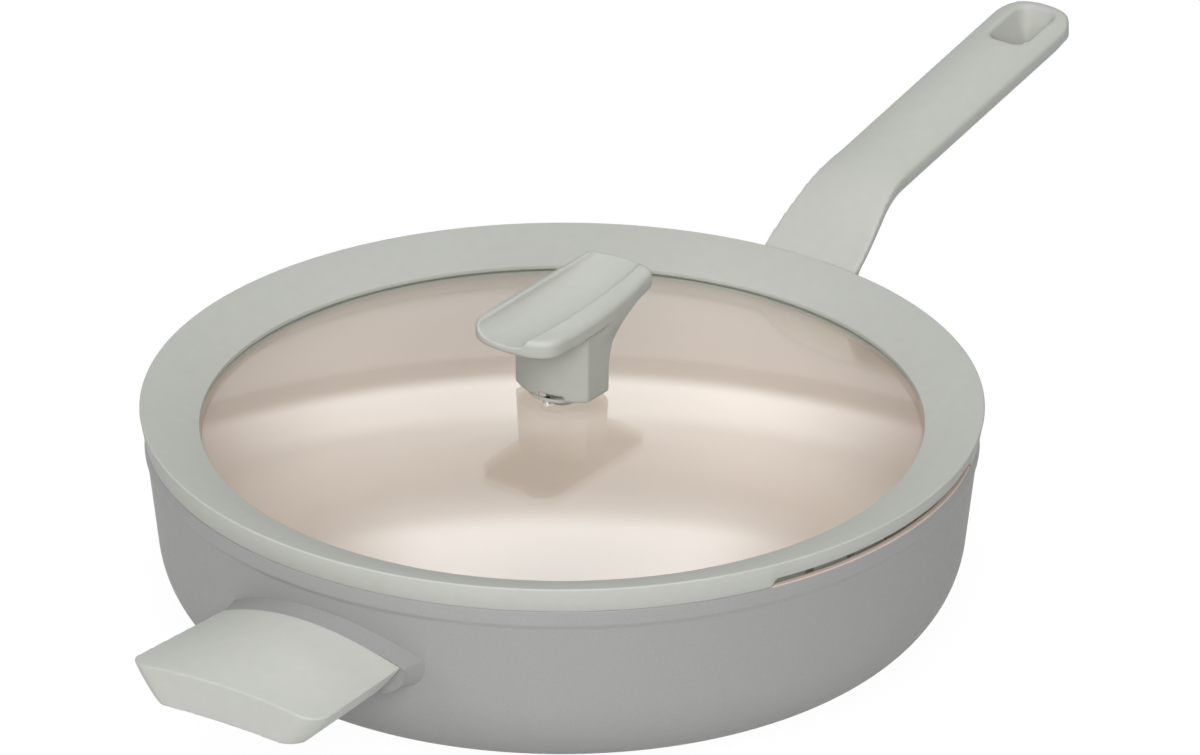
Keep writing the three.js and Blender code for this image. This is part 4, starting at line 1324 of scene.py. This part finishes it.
@dataclass
class Knob:
    """The saddle-shaped knob and what holds it on the glass."""

    front: float = 33.5
    back: float = 37.0
    half: float = 17.4
    front_half: float = 17.4
    back_half: float = 14.4
    front_bow: float = 1.8
    back_bow: float = 1.5
    front_corner: float = 8.5
    back_corner: float = 5.0
    foot_z: float = 85.6
    top_z: float = 117.5
    top_rise: float = 3.7
    plate: float = 6.8
    groove_middle: tuple[float, float, float] = (2.8, 1.2, 1.7)
    groove_half: tuple[float, float, float] = (10.8, 11.6, 9.0)
    groove_depth: tuple[float, float, float] = (3.9, 4.4, 1.2)
    groove_reach: float = 46.0
    groove_clear: float = 9.0
    groove_fullness: float = 2.8
    top_edge: float = 2.2
    low_edge: float = 1.3
    stem_half: float = 15.5
    stem_flat: float = 6.0
    stem_reach: float = 12.0
    flare_start: float = 11.0
    flare_reach: float = 21.0
    flare_lean: float = 2.6
    flare_ease: float = 7.0
    web_ease: float = 9.0
    cavity: tuple[float, float] = (10.6, 7.0)
    boss: float = 6.4
    insert_bore: tuple[float, float] = (5.0, 12.4)
    mouth: tuple[float, float, float] = (9.5, 1.6, math.radians(17.0))
    clamp_z: float = 78.473
    clamp_bore: float = 2.8
    grain: float = 0.4
    passes: int = 7

    def top(self, x: float) -> float:
        """Gives the height of the saddle's top, which sweeps up towards the back."""
        return self.top_z + self.top_rise * ((x + self.front) / (self.front + self.back)) ** 3

    def half_at(self, x: float) -> float:
        """Gives half the saddle's width between its corners."""
        low = -self.front + self.front_bow + self.front_corner
        high = self.back - self.back_bow - self.back_corner
        return through(self.front_half, self.half, self.back_half, (x - low) / (high - low))

    def under(self, x: float) -> float:
        """Gives the height of the saddle's underside."""
        return self.top(x) - self.plate

    def saddle_outline(self) -> list[Point2]:
        """Works out the saddle's plan: bowed sides and ends with round corners."""
        low, high = -self.front + self.front_bow, self.back - self.back_bow
        c, d = self.back_corner, self.front_corner
        bulge = 2 * self.half - (self.front_half + self.back_half) / 2
        middle = (low + high) / 2
        f, b = self.front_half, self.back_half
        parts = [
            bezier([(low + d, -f), (middle, -bulge), (high - c, -b)], 24),
            bezier([(high - c, -b), (high, -b), (high, -b + c)], 10),
            bezier([(high, -b + c), (high + 2 * self.back_bow, 0.0), (high, b - c)], 14),
            bezier([(high, b - c), (high, b), (high - c, b)], 10),
            bezier([(high - c, b), (middle, bulge), (low + d, f)], 24),
            bezier([(low + d, f), (low + 0.1 * d, f), (-self.front, 0.62 * f), (-self.front, 0.0)], 24),
            bezier([(-self.front, 0.0), (-self.front, -0.62 * f), (low + 0.1 * d, -f), (low + d, -f)], 24),
        ]
        return [p for part in parts for p in part[:-1]]

    def stem_outline(self) -> list[Point2]:
        """Works out the stem's plan: flat sides along the saddle, bowed faces across it."""
        flat, half = self.stem_flat, self.stem_half
        control = 2 * self.stem_reach - flat
        right = bezier([(flat, -half), (control, 0.0), (flat, half)], 20)
        left = bezier([(-flat, half), (-control, 0.0), (-flat, -half)], 20)
        return [*right, *left]

    def web(self) -> Workpiece:
        """Lofts the web that sweeps from the stem out under the saddle and eases into its sides."""
        start, reach = self.stem_flat, self.flare_reach
        deep = self.flare_start + self.plate
        sweep = bezier([(start, deep), (start + self.flare_lean, 2.0), (start + self.flare_ease, 0.0),
                        (start + reach, 0.0), (start + reach, -1.5)], 20)
        rings = []
        for far, gap in sweep:
            blend = ease(gap, 0.0, self.web_ease)
            side = []
            for i in range(13):
                x = lerp(-self.stem_flat, far, i / 12)
                wide = lerp(self.stem_half, self.half_at(x), ease(x, -self.stem_flat, 8.0))
                side.append((x, lerp(wide, self.stem_half, blend) - 0.1, self.under(x) - gap))
            rings.append([*(Vector((x, -y, z)) for x, y, z in side), *(Vector(p) for p in reversed(side))])
        return Workpiece().loft(rings)

    def saddle(self) -> Workpiece:
        """Lofts the saddle's plate with rounded edges."""
        outline, rings = self.saddle_outline(), []
        for i in range(7):
            angle = math.pi / 2 * i / 6
            drop = self.top_edge * (1 - math.cos(angle))
            inner = inset_outline(outline, self.top_edge * (1 - math.sin(angle)))
            rings.append([Vector((x, y, self.top(x) - drop)) for x, y in inner])
        for i in range(5):
            angle = math.pi / 2 * i / 4
            lift = self.low_edge * (1 - math.sin(angle))
            inner = inset_outline(outline, self.low_edge * (1 - math.cos(angle)))
            rings.append([Vector((x, y, self.under(x) + lift)) for x, y in inner])
        return Workpiece().loft(rings[::-1])

    def full(self, turn: float) -> float:
        """Gives the height share of a round that is fuller than a circle."""
        power = self.groove_fullness
        return math.copysign((1 - abs(math.cos(turn)) ** power) ** (1 / power), math.sin(turn))

    def groove(self) -> Workpiece:
        """Lofts the cutter of the long hollow, which gets narrower and shallower towards the back."""
        rings = []
        turns = [2 * math.pi * k / 64 for k in range(64)]
        for i in range(13):
            x = lerp(-self.groove_reach, self.groove_reach, i / 12)
            share = (x + self.front) / (self.front + self.back)
            spans = (self.groove_middle, self.groove_half, self.groove_depth)
            middle, half, depth = (max(0.3, through(*span, share)) for span in spans)
            ring = []
            for turn in turns:
                height = self.full(turn) * (depth if math.sin(turn) < 0 else self.groove_clear)
                ring.append(Vector((x, middle + half * math.cos(turn), self.top(x) + height)))
            rings.append(ring)
        return Workpiece().loft(rings)

    def build_knob(self) -> None:
        """Joins, cuts and moulds the knob."""
        foot = self.foot_z
        top = self.under(0.0) + 1
        stem = Workpiece().raise_outline(self.stem_outline(), lambda x, y: foot, lambda x, y: top)
        radius, height = self.cavity
        hollow = rounded_rectangle((self.boss, foot - 3), (radius, foot + height), 0.5, 2)
        cavity = Workpiece().turn(hollow, 48)
        width, height, turn = self.mouth
        mouth = Workpiece().block((-20.0, -width / 2, foot - 3), (-8.5, width / 2, foot + height))
        mouth.move(Matrix.Rotation(turn, 4, "Z"))
        radius, height = self.insert_bore
        bore = Workpiece().post(radius, (0, 0), foot - 3, foot + height, 32)
        clay = Clay(self.saddle()).work(Combine.JOIN, stem, self.web())
        clay.work(Combine.CUT, self.groove(), cavity, mouth, bore)
        work = clay.mould(self.grain, self.passes)
        finish_piece("saddle_knob", work, [PHENOLIC], Body.LID, "lid_knob", crease=60.0)

    def build_fastening(self) -> None:
        """Makes the seat ring, the insert, the bush, the washer and the screw."""
        clamp, bore = self.clamp_z, self.clamp_bore
        low, high, top = clamp + 0.8, clamp + 1.6, 84.1
        bush = [(bore, low), (5.4, low), (5.6, low + 0.2), (5.6, high - 0.2), (5.4, high), (4.0, high),
                (4.0, top), (bore, top)]
        washer = ring_profile(bore, 5.2, clamp + 0.1, clamp + 0.7, 0.15)
        turned = (
            ("seat_ring", ring_profile(10.8, 11.8, 84.3, 85.5, 0.25), SILICONE, "knob_seat"),
            ("thread_insert", ring_profile(bore, 4.6, 85.7, 97.7, 0.3), INSERT_BRASS, "knob_insert"),
            ("clamp_washer", washer, SCREW_STEEL, "knob_washer"),
            ("soft_bush", bush, SILICONE, "knob_bush"),
        )
        for name, profile, finish, node in turned:
            finish_piece(name, Workpiece().turn(without_repeats(profile), 64), [finish], Body.LID, node)
        screw = Screw(19.1, 2.5, 4.5, 1.4, 2.1, steps=40).build().move(Matrix.Translation((0, 0, clamp)))
        finish_piece("clamp_screw", screw, [SCREW_STEEL], Body.LID, "knob_screw")

    def build(self) -> None:
        """Makes all pieces of the knob."""
        self.build_knob()
        self.build_fastening()


@dataclass(frozen=True)
class Lamp:
    """A soft square lamp that looks at the pan."""

    name: str
    place: tuple[float, float, float]
    size: float
    power: float


@dataclass
class Studio:
    """The camera, the pale floor and the soft light."""

    azimuth: float = math.radians(-53.95)
    elevation: float = math.radians(25.73)
    distance: float = 11880.0
    lens: float = 1040.0
    sensor: float = 36.0
    aim_right: float = 12.98
    aim_up: float = 8.91
    aim_height: float = 78.7
    sky: float = 0.2
    floor_reach: float = 30.0
    floor_drop: float = 0.0003
    floor_greys: Point2 = (0.79, 0.81)
    floor_glow: float = 1.04
    floor_glow_share: float = 0.93
    lamps_aim: tuple[float, float, float] = (0.0, 0.0, 0.06)
    lamps: tuple[Lamp, ...] = (
        Lamp("top_lamp", (-0.15, -0.1, 1.75), 0.9, 8.2),
        Lamp("key_lamp", (-1.55, -1.3, 1.35), 1.4, 34.0),
        Lamp("left_lamp", (-1.9, 0.9, 0.9), 1.2, 8.5),
    )
    panel_away: float = 2.0
    panel_low: float = 0.8
    panel_high: float = 2.8
    panel_half: float = 0.7
    panel_fade: float = 0.45
    panel_strength: float = 6.2
    mirrored: float = 0.35
    panel_stripes: tuple[Point2, ...] = ((0.06, 0.0), (0.1, 0.46), (0.2, 0.4), (0.25, 0.17), (0.5, 0.17),
                                         (0.59, 0.4), (0.67, 1.0), (1.0, 1.1))

    def right(self) -> Vector:
        """Gives the direction to the picture's right."""
        return pointing(self.azimuth).to_3d()

    def build_camera(self) -> None:
        """Makes the camera at the photograph's viewing angle."""
        back = Vector((math.sin(self.azimuth) * math.cos(self.elevation),
                       -math.cos(self.azimuth) * math.cos(self.elevation), math.sin(self.elevation)))
        right = self.right()
        up = back.cross(right)
        target = Vector((0, 0, self.aim_height)) + self.aim_right * right + self.aim_up * up
        data = bpy.data.cameras.new("camera")
        data.lens, data.sensor_width, data.clip_start, data.clip_end = self.lens, self.sensor, 0.5, 100.0
        camera = stand("camera", data)
        camera.location = (target + self.distance * back) * MM
        camera.rotation_mode = "QUATERNION"
        camera.rotation_quaternion = (-back).to_track_quat("-Z", "Y")
        bpy.context.scene.camera = camera

    def seen(self, sheet: NodeSheet) -> Socket:
        """Gives 1 for what the camera sees, also through glass, a share of it in reflections, and else 0."""
        path = sheet.add("NodeLightPath").outputs
        mirrored = sheet.chain("NodeMath", path["Is Glossy Ray"], self.mirrored, operation="MULTIPLY")
        through = sheet.chain("NodeMath", path["Is Transmission Ray"], mirrored, operation="MAXIMUM")
        return sheet.chain("NodeMath", path["Is Camera Ray"], through, operation="MAXIMUM")

    @staticmethod
    def stage_sheet(name: str, low: Point2, high: Point2, material: bpy.types.Material,
                    place: Matrix) -> bpy.types.Object:
        """Stands a flat sheet in the studio.

        Args:
            name: Name of the sheet.
            low: Low corner in its own plane.
            high: High corner.
            material: Its material.
            place: Where its plane goes.

        Returns:
            The sheet.
        """
        work = bmesh.new()
        corners = [low, (high[0], low[1]), high, (low[0], high[1])]
        work.faces.new([work.verts.new((x, y, 0)) for x, y in corners])
        mesh = bpy.data.meshes.new(name)
        work.to_mesh(mesh)
        work.free()
        mesh.materials.append(material)
        sheet = stand(name, mesh)
        sheet.matrix_world = place
        return sheet

    def build_sky(self) -> None:
        """Makes an even sky that is white where it is seen."""
        sheet = NodeSheet(bpy.data.worlds.new("sky"))
        light = sheet.chain("NodeBackground", WHITE, self.sky)
        white = sheet.chain("NodeBackground", WHITE, 1.0)
        shown = sheet.chain("NodeMixShader", self.seen(sheet), light, white)
        bpy.context.scene.world = sheet.close(shown, "NodeOutputWorld")

    def build_floor(self) -> None:
        """Makes the pale floor, white where it is seen and a little darker in the pan's shadow."""
        sheet = NodeSheet(bpy.data.materials.new("pale_floor"))
        cloud = sheet.noise(sheet.place(), 3.0, 2.0)
        dark, light = self.floor_greys
        paint = sheet.chain("NodeBsdfDiffuse", sheet.ramp(cloud, grey(dark), grey(light)))
        glow = sheet.chain("NodeEmission", WHITE, self.floor_glow)
        bright = sheet.chain("NodeMixShader", self.floor_glow_share, paint, glow)
        shown = sheet.chain("NodeMixShader", self.seen(sheet), paint, bright)
        reach = self.floor_reach
        place = Matrix.Translation((0, 0, -self.floor_drop))
        self.stage_sheet("floor", (-reach, -reach), (reach, reach), sheet.close(shown), place)

    def build_lamps(self) -> None:
        """Hangs the soft lamps."""
        for lamp in self.lamps:
            data = bpy.data.lights.new(lamp.name, "AREA")
            data.shape, data.size, data.energy = "SQUARE", lamp.size, lamp.power
            thing = stand(lamp.name, data)
            thing.location = lamp.place
            thing.rotation_mode = "QUATERNION"
            aim = Vector(self.lamps_aim) - Vector(lamp.place)
            thing.rotation_quaternion = aim.to_track_quat("-Z", "Y")
            thing.visible_camera = False

    def panel_material(self) -> bpy.types.Material:
        """Makes the glow of the panel: stripes across it that fade towards its sides."""
        sheet = NodeSheet(bpy.data.materials.new("soft_panel"))
        where = sheet.add("NodeTexCoord").outputs["Object"]
        parts = sheet.add("NodeSeparateXYZ", Vector=where).outputs
        rise = sheet.chain("NodeMapRange", parts["Y"], From_Min=self.panel_low, From_Max=self.panel_high)
        stripes = sheet.add("NodeValToRGB", Fac=rise)
        stops = stripes.color_ramp.elements
        while len(stops) < len(self.panel_stripes):
            stops.new(0.5)
        peak = max(level for _, level in self.panel_stripes)
        for stop, (place, level) in zip(stops, self.panel_stripes):
            stop.position, stop.color = place, grey(level / peak)
        aside = sheet.chain("NodeMath", parts["X"], operation="ABSOLUTE")
        fade = sheet.chain("NodeMapRange", aside, interpolation_type="SMOOTHSTEP", From_Min=self.panel_half,
                           From_Max=self.panel_fade * self.panel_half)
        level = sheet.chain("NodeMath", fade, peak * self.panel_strength, operation="MULTIPLY")
        return sheet.close(sheet.chain("NodeEmission", stripes.outputs["Color"], level))

    def build_panel(self) -> None:
        """Stands a soft striped panel behind the pan that shows in reflections only."""
        right, up = self.right(), Vector((0, 0, 1))
        away = up.cross(right)
        turned = Matrix((right, up, -away)).transposed().to_4x4()
        low, high = (-self.panel_half, self.panel_low), (self.panel_half, self.panel_high)
        place = Matrix.Translation(self.panel_away * away) @ turned
        panel = self.stage_sheet("soft_panel", low, high, self.panel_material(), place)
        panel.visible_camera = panel.visible_diffuse = False
        panel.visible_shadow = panel.visible_transmission = False

    def build(self) -> None:
        """Makes the studio."""
        bpy.context.scene.view_settings.view_transform = "Standard"
        self.build_camera()
        self.build_sky()
        self.build_floor()
        self.build_lamps()
        self.build_panel()


def main() -> None:
    """Builds the studio and every piece."""
    logging.basicConfig(level=logging.INFO, format="%(message)s")
    Studio().build()
    Vessel().build()
    StickHandle().build()
    HelperHandle().build()
    Lid().build()
    Knob().build()


if __name__ == "__main__":
    main()
